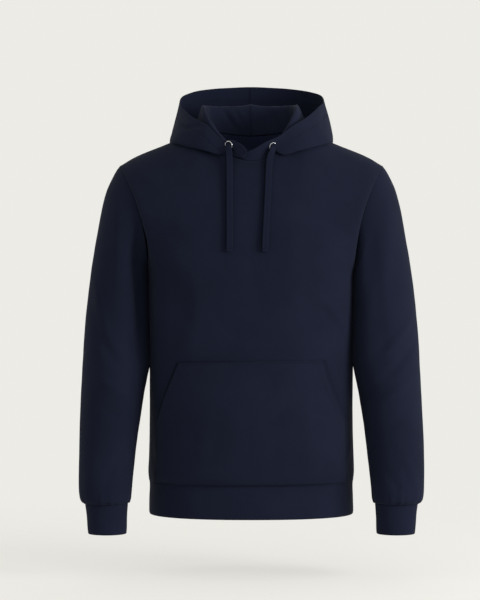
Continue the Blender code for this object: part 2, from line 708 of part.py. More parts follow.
def pocket_half_width(z: float) -> float:
    """Half the pocket's width at a height: slanted hand openings over upright sides."""
    if z > POCKET_SLANT_Z:
        share = (POCKET_TOP_Z - z) / (POCKET_TOP_Z - POCKET_SLANT_Z)
        return mix(POCKET_TOP_HALF, POCKET_SLANT_HALF, share ** 1.12)
    share = (POCKET_SLANT_Z - z) / (POCKET_SLANT_Z - POCKET_BOTTOM_Z)
    return mix(POCKET_SLANT_HALF, POCKET_BOTTOM_HALF, share)


def pocket_wall() -> Wall:
    """The wall of the kangaroo pocket, the front's own points moved outwards."""
    def gape(across: float, z: float) -> float:
        """How far the pocket's inside stands off the front panel."""
        down = (POCKET_TOP_Z - z) / (POCKET_TOP_Z - POCKET_BOTTOM_Z)
        hand_part = (POCKET_TOP_Z - z) / (POCKET_TOP_Z - POCKET_SLANT_Z)
        middle = POCKET_FULLNESS * math.sin(math.pi * clamp(down)) ** 0.6
        opening = HAND_OPENING_GAPE * math.sin(math.pi * clamp(hand_part)) ** 0.7
        return mix(middle, min(opening, middle), abs(across) ** 4)

    def place(u: float, v: float) -> tuple[float, float]:
        """The share across and the height of a place, with finer steps at the sides and foot."""
        across = math.sin((2 * u - 1) * POCKET_SPREAD) / math.sin(POCKET_SPREAD)
        return across, mix(POCKET_BOTTOM_Z, POCKET_TOP_Z, v ** 1.5)

    def outer(u: float, v: float) -> Vector:
        across, z = place(u, v)
        x = pocket_half_width(z) * across
        off = POCKET_GAP + POCKET_WALL + gape(across, z)
        return front_at(x, z) + front_direction(x, z) * off

    def outward(u: float, v: float) -> Vector:
        across, z = place(u, v)
        return front_direction(pocket_half_width(z) * across, z)

    return Wall(outer, POCKET_WALL, outward)


def hood_place(side: str, angle: float, z: float) -> tuple[Vector, Vector]:
    """The point and the outward direction of the hood's stand at an angle and a height."""
    start = HOOD_FRONT_EDGE[side]
    outer = hood_surface(side)
    u = ((angle - start) / (HOOD_BACK - start)) ** (1 / HOOD_COLUMN_POWER)
    low, high = 0.0, 1.0
    for _ in range(30):
        middle = (low + high) / 2
        if outer(u, middle).z < z:
            low = middle
        else:
            high = middle
    return outer(u, low), numeric_normal(outer, u, low) * SIDES[side]


def highest_under(side: str, place: Vector, outward: Vector, reach: float) -> float:
    """How far the hood's stand rises along a direction within a reach of a place."""
    highest = 0.0
    for step in range(-8, 9):
        angle = EYELET_ANGLE[side] + step * 0.6
        for rise in range(-8, 9):
            point, _ = hood_place(side, angle, place.z + rise * MM)
            away = point - place
            height = away.dot(outward)
            if (away - outward * height).length <= reach:
                highest = max(highest, height)
    return highest


def eyelet_mesh(side: str) -> bpy.types.Mesh:
    """A domed metal ring, turned about its axis and laid on the hood's stand."""
    place, outward = hood_place(side, EYELET_ANGLE[side], EYELET_Z[side])
    seat = highest_under(side, place, outward, EYELET_OUTER + MM) + 2 * SEAM_GAP
    profile = [
        (EYELET_HOLE, 0.0), (EYELET_OUTER, 0.0), (EYELET_OUTER, 0.4 * EYELET_HEIGHT),
        (mix(EYELET_HOLE, EYELET_OUTER, 0.72), EYELET_HEIGHT),
        (mix(EYELET_HOLE, EYELET_OUTER, 0.28), EYELET_HEIGHT),
        (EYELET_HOLE, 0.5 * EYELET_HEIGHT),
    ]
    bm = bmesh.new()
    verts = [bm.verts.new((radius, 0, height)) for radius, height in profile]
    edges = [bm.edges.new(pair) for pair in zip(verts, verts[1:] + verts[:1])]
    bmesh.ops.spin(bm, geom=verts + edges, cent=(0, 0, 0), axis=(0, 0, 1),
                   angle=2 * math.pi, steps=EYELET_STEPS, use_merge=True)
    bmesh.ops.remove_doubles(bm, verts=bm.verts, dist=1e-6)
    bmesh.ops.recalc_face_normals(bm, faces=bm.faces[:])
    turn = outward.to_track_quat("Z", "Y").to_matrix().to_4x4()
    bmesh.ops.transform(bm, matrix=turn, verts=bm.verts)
    bmesh.ops.translate(bm, vec=place + outward * seat, verts=bm.verts)
    bmesh.ops.triangulate(bm, faces=bm.faces[:])
    mesh = bpy.data.meshes.new(f"eyelet_{side}")
    bm.to_mesh(mesh)
    bm.free()
    return mesh


def cord_ring(columns: dict[str, Track], at: float) -> list[Vector]:
    """One section of a drawcord, a flat rectangle with rounded edges."""
    step = 0.05
    here = {name: track(at) for name, track in columns.items()}
    before, after = ([columns[name](at + shift) for name in "xyz"] for shift in (-step, step))
    along = (Vector(after) - Vector(before)).normalized()
    across = Vector((1, here["slope"], 0))
    across = (across - along * across.dot(along)).normalized()
    through = across.cross(along)
    ring = []
    for index in range(CORD_SIDES):
        turn = 2 * math.pi * (index + 0.5) / CORD_SIDES
        wide = here["width"] / 2 * signed_power(math.cos(turn), 2 / CORD_POWER)
        thick = here["thickness"] / 2 * signed_power(math.sin(turn), 2 / CORD_POWER)
        ring.append(Vector((here["x"], here["y"], here["z"])) + across * wide + through * thick)
    return ring


def cord_mesh(side: str) -> bpy.types.Mesh:
    """A drawcord, swept along its route."""
    columns = tracks(CORD_ROUTE[side])
    count = (len(CORD_ROUTE[side]) - 1) * CORD_STEPS
    bm = bmesh.new()
    rings = [[bm.verts.new(point) for point in cord_ring(columns, index / CORD_STEPS)]
             for index in range(count + 1)]
    for lower, upper in zip(rings, rings[1:]):
        for index in range(CORD_SIDES):
            after = (index + 1) % CORD_SIDES
            bm.faces.new((lower[index], lower[after], upper[after], upper[index]))
    bm.faces.new(rings[0])
    bm.faces.new(rings[-1])
    bmesh.ops.triangulate(bm, faces=bm.faces[:])
    bmesh.ops.recalc_face_normals(bm, faces=bm.faces[:])
    mesh = bpy.data.meshes.new(f"drawcord_{side}")
    bm.to_mesh(mesh)
    bm.free()
    return mesh


def main() -> None:
    """Build every piece."""
    for old in list(bpy.data.objects):
        bpy.data.objects.remove(old, do_unlink=True)
    fleece = material("navy_fleece", (0.0110, 0.0130, 0.0280), 0.92)
    rib = material("navy_rib", (0.0100, 0.0120, 0.0250), 0.90)
    braid = material("navy_braid", (0.0120, 0.0150, 0.0300), 0.85)
    nickel = material("bright_nickel", (0.62, 0.62, 0.62), 0.25, 1.0)

    add("front", body_wall(1).mesh("front", 30, BODY_ROWS), fleece)
    add("back", body_wall(-1).mesh("back", 30, BODY_ROWS), fleece)
    add("waistband", waistband_wall().mesh("waistband", 44, 4, tube=True), rib)
    add("pocket", pocket_wall().mesh("pocket", 22, 9), fleece)
    for side in SIDES:
        sleeve = sleeve_wall(side).mesh(f"sleeve_{side}", BODY_ROWS, 16, tube=True)
        add(f"sleeve_{side}", sleeve, fleece)
        add(f"cuff_{side}", cuff_wall(side).mesh(f"cuff_{side}", 18, 4, tube=True), rib)
        add(f"hood_{side}", hood_wall(side).mesh(f"hood_{side}", 24, 20), fleece)
        add(f"eyelet_{side}", eyelet_mesh(side), nickel)
        add(f"drawcord_{side}", cord_mesh(side), braid)


main()
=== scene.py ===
"""Looks of a navy fleece pullover hoodie, filled out as if worn.

Metres, +Z up; the front faces -Y and the wearer's left side is +X. The origin is the middle of
the neck opening. Each sub-assembly is a class that holds its own sizes and builds its cloth as a
thin shell on the form of its solid: a grid laid over a surface, given its folds, its rolled seams
or round rims and its thickness.
"""

from __future__ import annotations

import logging
import math
from dataclasses import dataclass, field
from enum import Enum
from functools import cached_property, lru_cache, partial
from typing import Callable, Iterable, NamedTuple, Sequence

import bmesh
import bpy
import numpy as np
from mathutils import Matrix, Vector, noise

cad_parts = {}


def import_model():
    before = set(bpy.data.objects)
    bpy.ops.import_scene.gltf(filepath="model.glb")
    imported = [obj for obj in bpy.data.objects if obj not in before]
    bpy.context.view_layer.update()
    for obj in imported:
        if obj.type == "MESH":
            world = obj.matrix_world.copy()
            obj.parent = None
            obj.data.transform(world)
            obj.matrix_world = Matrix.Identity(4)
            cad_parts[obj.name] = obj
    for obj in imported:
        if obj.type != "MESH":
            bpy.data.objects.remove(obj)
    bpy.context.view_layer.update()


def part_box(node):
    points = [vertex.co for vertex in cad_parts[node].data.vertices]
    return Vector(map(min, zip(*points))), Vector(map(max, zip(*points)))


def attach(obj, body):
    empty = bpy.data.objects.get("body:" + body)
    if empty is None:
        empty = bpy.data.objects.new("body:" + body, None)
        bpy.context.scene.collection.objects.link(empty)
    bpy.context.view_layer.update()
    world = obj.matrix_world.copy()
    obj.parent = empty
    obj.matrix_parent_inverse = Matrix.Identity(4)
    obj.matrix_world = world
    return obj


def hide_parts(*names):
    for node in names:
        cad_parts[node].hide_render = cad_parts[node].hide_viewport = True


LOG = logging.getLogger("hoodie")
MM = 0.001
WELD = 1e-6
BODY_NAME = "root"
Surface = Callable[[float, float], Vector]
Colour = tuple[float, float, float]
Row = list[tuple[Vector, Vector]]
Material = bpy.types.Material
Socket = bpy.types.NodeSocket


# ---- Numbers and curves ----

def signed_power(value: float, power: float) -> float:
    """Raise a size to a power and keep its sign."""
    return math.copysign(abs(value) ** power, value)


def mix(start: float, end: float, share: float) -> float:
    """Blend two numbers."""
    return start + (end - start) * share


def clamp(value: float, low: float = 0.0, high: float = 1.0) -> float:
    """Keep a number between two others."""
    return min(max(value, low), high)


class Side(Enum):
    """The wearer's side that a piece is on."""

    LEFT = "left"
    RIGHT = "right"

    @property
    def hand(self) -> float:
        """1 on the wearer's left, which is +X, and -1 on the right."""
        return 1.0 if self is Side.LEFT else -1.0


class Track:
    """A smooth curve through a column of numbers, which never overshoots them."""

    def __init__(self, stations: Sequence[float], values: Sequence[float]) -> None:
        """Keep the column and work out its slopes.

        Args:
            stations: Where the numbers stand, in rising order.
            values: The numbers.
        """
        self.stations = list(stations)
        self.values = list(values)
        steps = [b - a for a, b in zip(self.stations, self.stations[1:])]
        rises = [(b - a) / step for a, b, step in zip(self.values, self.values[1:], steps)]
        self.slopes = [rises[0]]
        for before, after in zip(rises, rises[1:]):
            same_way = before * after > 0
            self.slopes.append(2 * before * after / (before + after) if same_way else 0.0)
        self.slopes.append(rises[-1])

    def __call__(self, at: float) -> float:
        """Read the curve at a place.

        Args:
            at: Where to read it.

        Returns:
            The number there.
        """
        place = clamp(at, self.stations[0], self.stations[-1])
        index = 0
        while index < len(self.stations) - 2 and place > self.stations[index + 1]:
            index += 1
        step = self.stations[index + 1] - self.stations[index]
        t = (place - self.stations[index]) / step
        low, high = self.values[index], self.values[index + 1]
        return (low * (1 + 2 * t) * (1 - t) ** 2 + high * t * t * (3 - 2 * t)
                + step * self.slopes[index] * t * (1 - t) ** 2
                - step * self.slopes[index + 1] * t * t * (1 - t))


class Table:
    """A smooth curve through each column of a table of sections or points."""

    def __init__(self, rows: Sequence[NamedTuple], by_first: bool = False) -> None:
        """Draw the curves.

        Args:
            rows: Rows with named columns.
            by_first: Whether the first column gives the places, and not the rows' numbers.
        """
        rows = sorted(rows) if by_first else rows
        places = [row[0] for row in rows] if by_first else range(len(rows))
        self.kind = type(rows[0])
        self.curves = [Track(places, column) for column in zip(*rows)]

    @lru_cache(maxsize=40000)
    def at(self, place: float) -> NamedTuple:
        """The row that the curves give at a place."""
        return self.kind(*(curve(place) for curve in self.curves))


# ---- The forms that the pieces are cut to ----

class ShoulderPoint(NamedTuple):
    """A point of the shoulder seam."""

    x: float
    z: float


class BodySection(NamedTuple):
    """A level section of the body: 2 is an ellipse, a higher power is squarer."""

    z: float
    half_width: float
    front: float
    back: float
    power: float


class SleeveSection(NamedTuple):
    """An oval section of a sleeve, between its outer and its inner line."""

    outer_x: float
    outer_z: float
    inner_x: float
    inner_z: float
    middle_y: float
    front: float
    back: float
    bow: float


class BandSection(NamedTuple):
    """A level section of a cuff."""

    z: float
    outer_x: float
    inner_x: float
    middle_y: float
    depth: float


class HoodSection(NamedTuple):
    """An upright section of the hood, by its angle round the neck from the centre front."""

    angle: float
    fold_r: float
    fold_z: float
    fold_half: float
    bag_r: float
    bag_z: float
    rim_r: float
    rim_z: float
    uneven: float


class CordPoint(NamedTuple):
    """A point of a drawcord's middle line, with the braid's size and slope there."""

    x: float
    y: float
    z: float
    width: float
    thickness: float
    slope: float


@dataclass(frozen=True)
class NeckLine:
    """The neck seam: an oval seen from above, lower in front."""

    half_width: float = 0.090
    front: float = 0.095
    back: float = 0.0675
    drop_front: float = 0.0665
    drop_back: float = 0.009
    roundness: float = 2.2

    def point(self, angle: float) -> Vector:
        """A point of the seam.

        Args:
            angle: Degrees from the centre front.

        Returns:
            The point, on the wearer's left.
        """
        turn = math.radians(angle)
        depth = self.front if math.cos(turn) > 0 else self.back
        drop = self.drop_front if math.cos(turn) > 0 else self.drop_back
        reach = (abs(math.sin(turn)) / self.half_width) ** self.roundness
        reach += (abs(math.cos(turn)) / depth) ** self.roundness
        radius = reach ** (-1 / self.roundness)
        height = -drop * abs(math.cos(turn)) ** self.roundness
        return Vector((radius * math.sin(turn), -radius * math.cos(turn), height))


@dataclass(frozen=True)
class ArmForm:
    """The form of a sleeve from the armhole to the cuff seam, on the wearer's left side."""

    cuff_seam_z: float = -0.6665
    seam_gap: float = 0.03 * MM
    sections: tuple[SleeveSection, ...] = (
        SleeveSection(0.2362, -0.0695, 0.1840, -0.2580, 0.000, 0.0750, 0.0750, 0.0145),
        SleeveSection(0.2425, -0.0775, 0.1852, -0.2630, 0.000, 0.0755, 0.0758, 0.0130),
        SleeveSection(0.2510, -0.0940, 0.1856, -0.2690, 0.000, 0.0760, 0.0765, 0.0115),
        SleeveSection(0.2595, -0.1120, 0.1854, -0.2770, 0.000, 0.0765, 0.0770, 0.0100),
        SleeveSection(0.2690, -0.1480, 0.1850, -0.2920, -0.001, 0.0760, 0.0770, 0.0085),
        SleeveSection(0.2784, -0.2020, 0.1847, -0.3180, -0.003, 0.0740, 0.0760, 0.0075),
        SleeveSection(0.2870, -0.2550, 0.1844, -0.3480, -0.007, 0.0715, 0.0735, 0.0070),
        SleeveSection(0.2940, -0.3120, 0.1841, -0.3820, -0.013, 0.0690, 0.0705, 0.0060),
        SleeveSection(0.2985, -0.3700, 0.1841, -0.4150, -0.021, 0.0665, 0.0670, 0.0045),
        SleeveSection(0.3010, -0.4300, 0.1875, -0.4500, -0.031, 0.0640, 0.0625, 0.0025),
        SleeveSection(0.3030, -0.4900, 0.1935, -0.4940, -0.042, 0.0600, 0.0575, 0.001),
        SleeveSection(0.3043, -0.5450, 0.2008, -0.5450, -0.054, 0.0555, 0.0525, 0.000),
        SleeveSection(0.3047, -0.5950, 0.2060, -0.5950, -0.065, 0.0510, 0.0480, 0.000),
        SleeveSection(0.3041, -0.6300, 0.2093, -0.6300, -0.073, 0.0480, 0.0450, 0.000),
        SleeveSection(0.3028, -0.6500, 0.2110, -0.6500, -0.077, 0.0460, 0.0430, 0.000),
        SleeveSection(0.3009, -0.6600, 0.2124, -0.6600, -0.079, 0.0435, 0.0410, 0.000),
        SleeveSection(0.2976, -0.6652, 0.2146, -0.6652, -0.080, 0.0402, 0.0380, 0.000),
        SleeveSection(0.2930, -0.6665, 0.2168, -0.6665, -0.080, 0.0365, 0.0345, 0.000),
    )
    cuff: tuple[BandSection, ...] = (
        BandSection(-0.6665, 0.2926, 0.2170, -0.0800, 0.0350),
        BandSection(-0.6770, 0.2908, 0.2175, -0.0812, 0.0335),
        BandSection(-0.6880, 0.2893, 0.2179, -0.0822, 0.0325),
        BandSection(-0.7110, 0.2876, 0.2186, -0.0840, 0.0318),
        BandSection(-0.7199, 0.2866, 0.2194, -0.0845, 0.0308),
    )

    def ring(self, at: float, turn: float) -> Vector:
        """A point of a section.

        Args:
            at: The section's number; a fraction lies between two.
            turn: The angle from the outer line towards the front, in radians.

        Returns:
            The point on the left sleeve.
        """
        row = self.table.at(at)
        outer = Vector((row.outer_x, row.middle_y, row.outer_z))
        inner = Vector((row.inner_x, row.middle_y, row.inner_z))
        point = (outer + inner) / 2 + (outer - inner) / 2 * math.cos(turn)
        point.y -= (row.front if math.sin(turn) > 0 else row.back) * math.sin(turn)
        point.x -= row.bow * math.sin(turn) ** 2
        return point

    def cuff_ring(self, at: float, turn: float) -> Vector:
        """A point of a section of the cuff.

        Args:
            at: The section's number; a fraction lies between two.
            turn: The angle from the outer line towards the front, in radians.

        Returns:
            The point on the left cuff.
        """
        row = self.cuff_table.at(at)
        middle, half = (row.outer_x + row.inner_x) / 2, (row.outer_x - row.inner_x) / 2
        return Vector((middle + half * math.cos(turn),
                       row.middle_y - row.depth * math.sin(turn), row.z))

    @cached_property
    def table(self) -> Table:
        """The curves through the sections."""
        return Table(self.sections)

    @cached_property
    def cuff_table(self) -> Table:
        """The curves through the cuff's sections."""
        return Table(self.cuff)


@dataclass(frozen=True)
class TrunkForm:
    """The form of the body panels and of the waistband."""

    arm: ArmForm
    neck: NeckLine
    underarm_z: float = -0.258
    waist_seam_z: float = -0.634
    hem_z: float = -0.6923
    seam_gap: float = 0.03 * MM
    shoulder_end_x: float = 0.2362
    neck_column: float = 0.28
    neck_share: float = 8 / 15
    profile_power: float = 2.35
    edge_pull_depth: float = 3.0
    edge_pull_width: float = 2.0
    shoulder: tuple[ShoulderPoint, ...] = (
        ShoulderPoint(0.0900, 0.0000),
        ShoulderPoint(0.1000, -0.0035),
        ShoulderPoint(0.1250, -0.0185),
        ShoulderPoint(0.1547, -0.0310),
        ShoulderPoint(0.2076, -0.0526),
        ShoulderPoint(0.2362, -0.0695),
    )
    body: tuple[BodySection, ...] = (
        BodySection(-0.634, 0.1828, 0.1230, 0.1170, 2.35),
        BodySection(-0.628, 0.1844, 0.1260, 0.1200, 2.35),
        BodySection(-0.616, 0.1851, 0.1280, 0.1220, 2.36),
        BodySection(-0.590, 0.1838, 0.1280, 0.1215, 2.38),
        BodySection(-0.500, 0.1822, 0.1265, 0.1190, 2.45),
        BodySection(-0.417, 0.1828, 0.1250, 0.1180, 2.58),
        BodySection(-0.330, 0.1834, 0.1235, 0.1180, 2.80),
        BodySection(-0.258, 0.1840, 0.1225, 0.1180, 3.05),
    )
    band: tuple[BodySection, ...] = (
        BodySection(-0.634, 0.1826, 0.1228, 0.1168, 2.35),
        BodySection(-0.642, 0.1822, 0.1228, 0.1163, 2.35),
        BodySection(-0.665, 0.1830, 0.1238, 0.1170, 2.35),
        BodySection(-0.687, 0.1834, 0.1244, 0.1175, 2.35),
        BodySection(-0.6923, 0.1826, 0.1236, 0.1168, 2.35),
    )

    @cached_property
    def tables(self) -> dict[str, Table]:
        """The curves through the three tables, by the tables' names."""
        return {name: Table(getattr(self, name), True) for name in ("shoulder", "body", "band")}

    def level(self, turn: float, z: float, name: str = "body") -> Vector:
        """A point on a level section.

        Args:
            turn: The angle from the centre front in radians.
            z: The height.
            name: The table: body or band.

        Returns:
            The point.
        """
        row = self.tables[name].at(z)
        depth = row.front if math.cos(turn) > 0 else row.back
        return Vector((row.half_width * signed_power(math.sin(turn), 2 / row.power),
                       -depth * signed_power(math.cos(turn), 2 / row.power), z))

    def upper(self, across: float, rise: float, facing: float) -> Vector:
        """A point of the left half of a panel above the underarm.

        Args:
            across: 0 at the centre line, 1 at the armhole.
            rise: 0 at the underarm, 1 at the neck or shoulder seam.
            facing: 1 for the front, -1 for the back.

        Returns:
            The point.
        """
        turn = across * math.pi / 2
        start = self.level(turn if facing > 0 else math.pi - turn, self.underarm_z)
        depth = abs(start.y)
        power = self.profile_power
        fullness = 1.0
        if across < self.neck_column:
            angle = 90 * across / self.neck_column
            end = self.neck.point(angle if facing > 0 else 180 - angle)
            reach = min(abs(end.y) / max(depth, MM), 1.0)
            fullness = (1 - reach ** power) ** (1 / power)
        else:
            widest = mix(math.sin(turn) ** (2 / power), across, 0.5)
            narrowest = mix(math.sin(self.neck_column * math.pi / 2) ** (2 / power),
                            self.neck_column, 0.5)
            share = (widest - narrowest) / (1 - narrowest)
            x = mix(self.neck.half_width, self.shoulder_end_x, share)
            end = Vector((x, 0, self.tables["shoulder"].at(x).z))
        climb = math.sin(rise * math.pi / 2) ** 2
        arc = (1 - (climb * fullness) ** power) ** (1 / power)
        bend = math.sin(rise * math.pi)
        edge = self.arm.sections[0]
        x = mix(start.x, end.x, climb) - edge.bow * bend ** 2 * across ** self.edge_pull_width
        y = depth * arc + edge.front * bend * across ** self.edge_pull_depth
        return Vector((x, -facing * y, mix(start.z, end.z, climb)))

    def panel(self, facing: float, u: float, v: float) -> Vector:
        """A point of a panel's outer surface, whose rows are halved at the underarm.

        Args:
            facing: 1 for the front, -1 for the back.
            u: The share across, from the wearer's right.
            v: The share up from the waistband.

        Returns:
            The point.
        """
        share = abs(2 * u - 1)
        if share < self.neck_share:
            across = self.neck_column * share / self.neck_share
        else:
            across = mix(self.neck_column, 1.0, (share - self.neck_share) / (1 - self.neck_share))
        if v < 0.5:
            z = mix(self.waist_seam_z + self.seam_gap, self.underarm_z, v * 2)
            turn = across * math.pi / 2
            point = self.level(turn if facing > 0 else math.pi - turn, z)
        else:
            point = self.upper(across, v * 2 - 1, facing)
        point.x = math.copysign(point.x, 2 * u - 1)
        return point

    def front_at(self, x: float, z: float) -> Vector:
        """The point of the front below the underarm at a place seen from the front.

        Args:
            x: How far to the wearer's left.
            z: The height.

        Returns:
            The point.
        """
        row = self.tables["body"].at(z)
        reach = clamp(abs(x) / row.half_width)
        return Vector((x, -row.front * (1 - reach ** row.power) ** (1 / row.power), z))

    def front_direction(self, x: float, z: float) -> Vector:
        """The direction outwards from the front at a place seen from the front.

        Args:
            x: How far to the wearer's left.
            z: The height.

        Returns:
            The direction.
        """
        step = 0.5 * MM
        across = self.front_at(x + step, z) - self.front_at(x - step, z)
        up = self.front_at(x, z + step) - self.front_at(x, z - step)
        return across.cross(up).normalized()


@dataclass(frozen=True)
class HoodForm:
    """The form of the hood: it stands up from the neck, folds over and lies back as a bag."""

    neck: NeckLine
    back: float = 180.0
    front_edge: tuple[float, float] = (-11.0, 5.0)
    lap: tuple[float, float] = (0.0, 7.0 * MM)
    lift: tuple[float, float] = (0.0, 4.5 * MM)
    lap_angle: float = 30.0
    tip_angle: float = 7.0
    tip_round: float = 0.9
    stand_angle: float = 14.0
    fold_angle: float = 32.0
    seat: float = 0.08 * MM
    shift: float = -0.004
    sway_height: float = 0.05
    fold_share: float = 0.31
    fold_round: tuple[float, float] = (0.7, 0.9)
    fall_share: float = 0.08
    back_start: float = 60.0
    bag_radius: float = 0.015
    bag_start: float = 0.004
    bag_growth: float = 0.030
    bag_tilt: float = 0.0055
    bag_fullness: float = 0.025
    bag_swell: float = 0.35
    bag_lip: tuple[float, float] = (0.4, 1.8)
    belly: float = 0.16
    side_angle: float = 102.0
    side_reach: float = 62.0
    trim: tuple[float, float] = (8.0 * MM, 13.0 * MM)
    flare: tuple[float, float] = (4.5 * MM, 1.0 * MM)
    column_power: float = 1.25
    sections: tuple[HoodSection, ...] = (
        HoodSection(-12, 0.0955, -0.0600, 0.0000, 0.0985, -0.0570, 0.0960, -0.0550, 0.0000),
        HoodSection(0, 0.0955, -0.0600, 0.0000, 0.0985, -0.0570, 0.0985, -0.0480, 0.0000),
        HoodSection(17, 0.0955, -0.0560, 0.0000, 0.0990, -0.0570, 0.1005, -0.0316, 0.0000),
        HoodSection(24, 0.0950, -0.0324, 0.0005, 0.1010, -0.0600, 0.1015, -0.0264, -0.0045),
        HoodSection(33, 0.0930, -0.0239, 0.0020, 0.1100, -0.0590, 0.1020, -0.0171, -0.0080),
        HoodSection(42, 0.0925, -0.0098, 0.0030, 0.1185, -0.0530, 0.1025, -0.0057, -0.0050),
        HoodSection(50, 0.0930, 0.0054, 0.0040, 0.1255, -0.0488, 0.1040, 0.0025, -0.0018),
        HoodSection(60, 0.0915, 0.0219, 0.0035, 0.1340, -0.0432, 0.1065, 0.0110, -0.0030),
        HoodSection(75, 0.0845, 0.0360, 0.0035, 0.1450, -0.0350, 0.1120, 0.0257, -0.0062),
        HoodSection(90, 0.0830, 0.0406, 0.0035, 0.1455, -0.0292, 0.1200, 0.0392, -0.0069),
        HoodSection(110, 0.0865, 0.0430, 0.0045, 0.1530, -0.0420, 0.1380, 0.0542, -0.0050),
        HoodSection(127, 0.0950, 0.0465, 0.0060, 0.1590, -0.0760, 0.1540, 0.0709, -0.0020),
        HoodSection(145, 0.0930, 0.0475, 0.0085, 0.1530, -0.1160, 0.1570, 0.0823, 0.0000),
        HoodSection(160, 0.0890, 0.0495, 0.0085, 0.1430, -0.1390, 0.1540, 0.0876, 0.0000),
        HoodSection(180, 0.0870, 0.0505, 0.0085, 0.1370, -0.1500, 0.1500, 0.0903, 0.0000),
    )

    def angle(self, side: Side, u: float) -> float:
        """The angle round the neck at a share of the way from the front edge to the back."""
        edge = self.front_edge[side is Side.RIGHT]
        return mix(edge, self.back, clamp(u) ** self.column_power)

    @cached_property
    def table(self) -> Table:
        """The curves through the sections, carried on behind the centre back."""
        behind = self.sections[-2]._replace(angle=2 * self.back - self.sections[-2].angle)
        return Table(self.sections + (behind,), True)

    @lru_cache(maxsize=4000)
    def controls(self, side: Side, angle: float) -> tuple[tuple[float, float], ...]:
        """The control points (radius, height) of the upright section at an angle.

        In front the cloth simply stands up from the seam to the rim. Further round it goes up
        to the fold, down to the bottom of the bag and up again to the rim.

        Args:
            side: The half of the hood.
            angle: Degrees from the centre front.

        Returns:
            Nine points from the neck seam to the rim.
        """
        right = side is Side.RIGHT
        at = self.table.at(angle)
        seam = self.neck.point(angle)
        lap = clamp(1 - angle / self.lap_angle)
        start = (math.hypot(seam.x, seam.y), seam.z + self.seat + self.lift[right] * lap)
        end = (at.rim_r, at.rim_z + (at.uneven if right else 0.0))
        fold_z, bag_z = at.fold_z, at.bag_z
        bag = self.bag_radius * clamp((at.bag_r - start[0] - self.bag_start) / self.bag_growth)
        back = clamp((angle - self.back_start) / (self.back - self.back_start))
        fold_inner = at.fold_r - self.fold_round[0] * at.fold_half
        fold_outer = at.fold_r + self.fold_round[1] * at.fold_half
        bag_inner = at.bag_r - bag
        bag_outer = at.bag_r + mix(*self.bag_lip, back ** 4) * bag
        beside = clamp(1 - abs(angle - self.side_angle) / self.side_reach)
        full = self.bag_fullness * back + self.bag_swell * bag - self.trim[right] * beside
        end = (end[0] + self.flare[right] * beside, end[1])
        folded = (
            start,
            (mix(start[0], fold_inner, 0.5), mix(start[1], fold_z, 0.5)),
            (fold_inner, fold_z),
            (fold_outer, fold_z),
            (mix(fold_outer, bag_inner, mix(self.fall_share, 0.5, back)),
             mix(fold_z, bag_z, 0.5)),
            (bag_inner, bag_z + self.bag_tilt * (1 - back)),
            (bag_outer, bag_z),
            (mix(bag_outer, end[0], 0.5) + full,
             mix(bag_z, end[1], 0.5 - self.belly * back)),
            end,
        )
        share = clamp((angle - self.stand_angle) / (self.fold_angle - self.stand_angle))
        share = share * share * (3 - 2 * share)
        last = len(folded) - 1
        straight = [(mix(start[0], end[0], i / last), mix(start[1], end[1], i / last))
                    for i in range(last + 1)]
        points = [(mix(s[0], f[0], share), mix(s[1], f[1], share))
                  for s, f in zip(straight, folded)]
        edge = self.front_edge[right]
        tip = clamp(1 - (angle - edge) / self.tip_angle) * self.tip_round
        middle = mix(start[1], end[1], 0.5)
        return tuple((r + self.lap[right] * lap, mix(middle, z, math.sqrt(1 - tip * tip)))
                     for r, z in points)

    def surface(self, side: Side, u: float, v: float) -> Vector:
        """A point of the outer surface of one half.

        Args:
            side: The half of the hood.
            u: The share round, from the front edge to the centre back.
            v: The share up the cloth, from the neck seam to the rim.

        Returns:
            The point.
        """
        angle = self.angle(side, u)
        radius, height = spline(self.controls(side, angle), v)
        turn = math.radians(angle)
        sway = clamp(1 - abs(v - self.fold_share) / self.fold_share)
        lift = clamp((height - self.neck.point(angle).z) / self.sway_height)
        x = radius * math.sin(turn) * side.hand
        x += self.shift * sway * lift * abs(math.sin(turn))
        return Vector((x, -radius * math.cos(turn), height))


def spline(controls: Sequence[tuple[float, float]], share: float) -> tuple[float, float]:
    """A point of the cubic B-spline that starts and ends at its outer control points.

    Args:
        controls: The control points.
        share: How far along, from 0 to 1.

    Returns:
        The point.
    """
    padded = [controls[0]] * 2 + list(controls) + [controls[-1]] * 2
    place = clamp(share) * (len(padded) - 3)
    index = min(int(place), len(padded) - 4)
    t = place - index
    weights = ((1 - t) ** 3 / 6, (3 * t ** 3 - 6 * t * t + 4) / 6,
               (-3 * t ** 3 + 3 * t * t + 3 * t + 1) / 6, t ** 3 / 6)
    near = padded[index:index + 4]
    return (sum(w * p[0] for w, p in zip(weights, near)),
            sum(w * p[1] for w, p in zip(weights, near)))


# ---- Finishes ----

def math_node(operation: str) -> Callable[..., Value]:
    """Make a method that adds one kind of Math node.

    Args:
        operation: The node's operation.

    Returns:
        The method.
    """
    def apply(value: Value, *others: Value | float) -> Value:
        """Add the node on a value and any others."""
        inputs = dict(enumerate((value, *others)))
        return value.nodes.add("ShaderNodeMath", {"operation": operation}, inputs).value()
    return apply


class Value:
    """A number inside a material, with arithmetic that adds Math nodes."""

    __add__ = math_node("ADD")
    __sub__ = math_node("SUBTRACT")
    __mul__ = math_node("MULTIPLY")
    __pow__ = math_node("POWER")
    __abs__ = math_node("ABSOLUTE")
    sine = math_node("SINE")
    fraction = math_node("FRACT")

    def __init__(self, nodes: Nodes, socket: Socket) -> None:
        """Wrap a socket of a material."""
        self.nodes = nodes
        self.socket = socket

    def __rsub__(self, other: float) -> Value:
        """Subtract this value from a number."""
        return self * -1.0 + other

    def between(self, low: float, high: float) -> Value:
        """A smooth step from 0 at low to 1 at high."""
        return self.nodes.add("ShaderNodeMapRange", {"interpolation_type": "SMOOTHSTEP"},
                              {"Value": self, "From Min": low, "From Max": high}).value("Result")


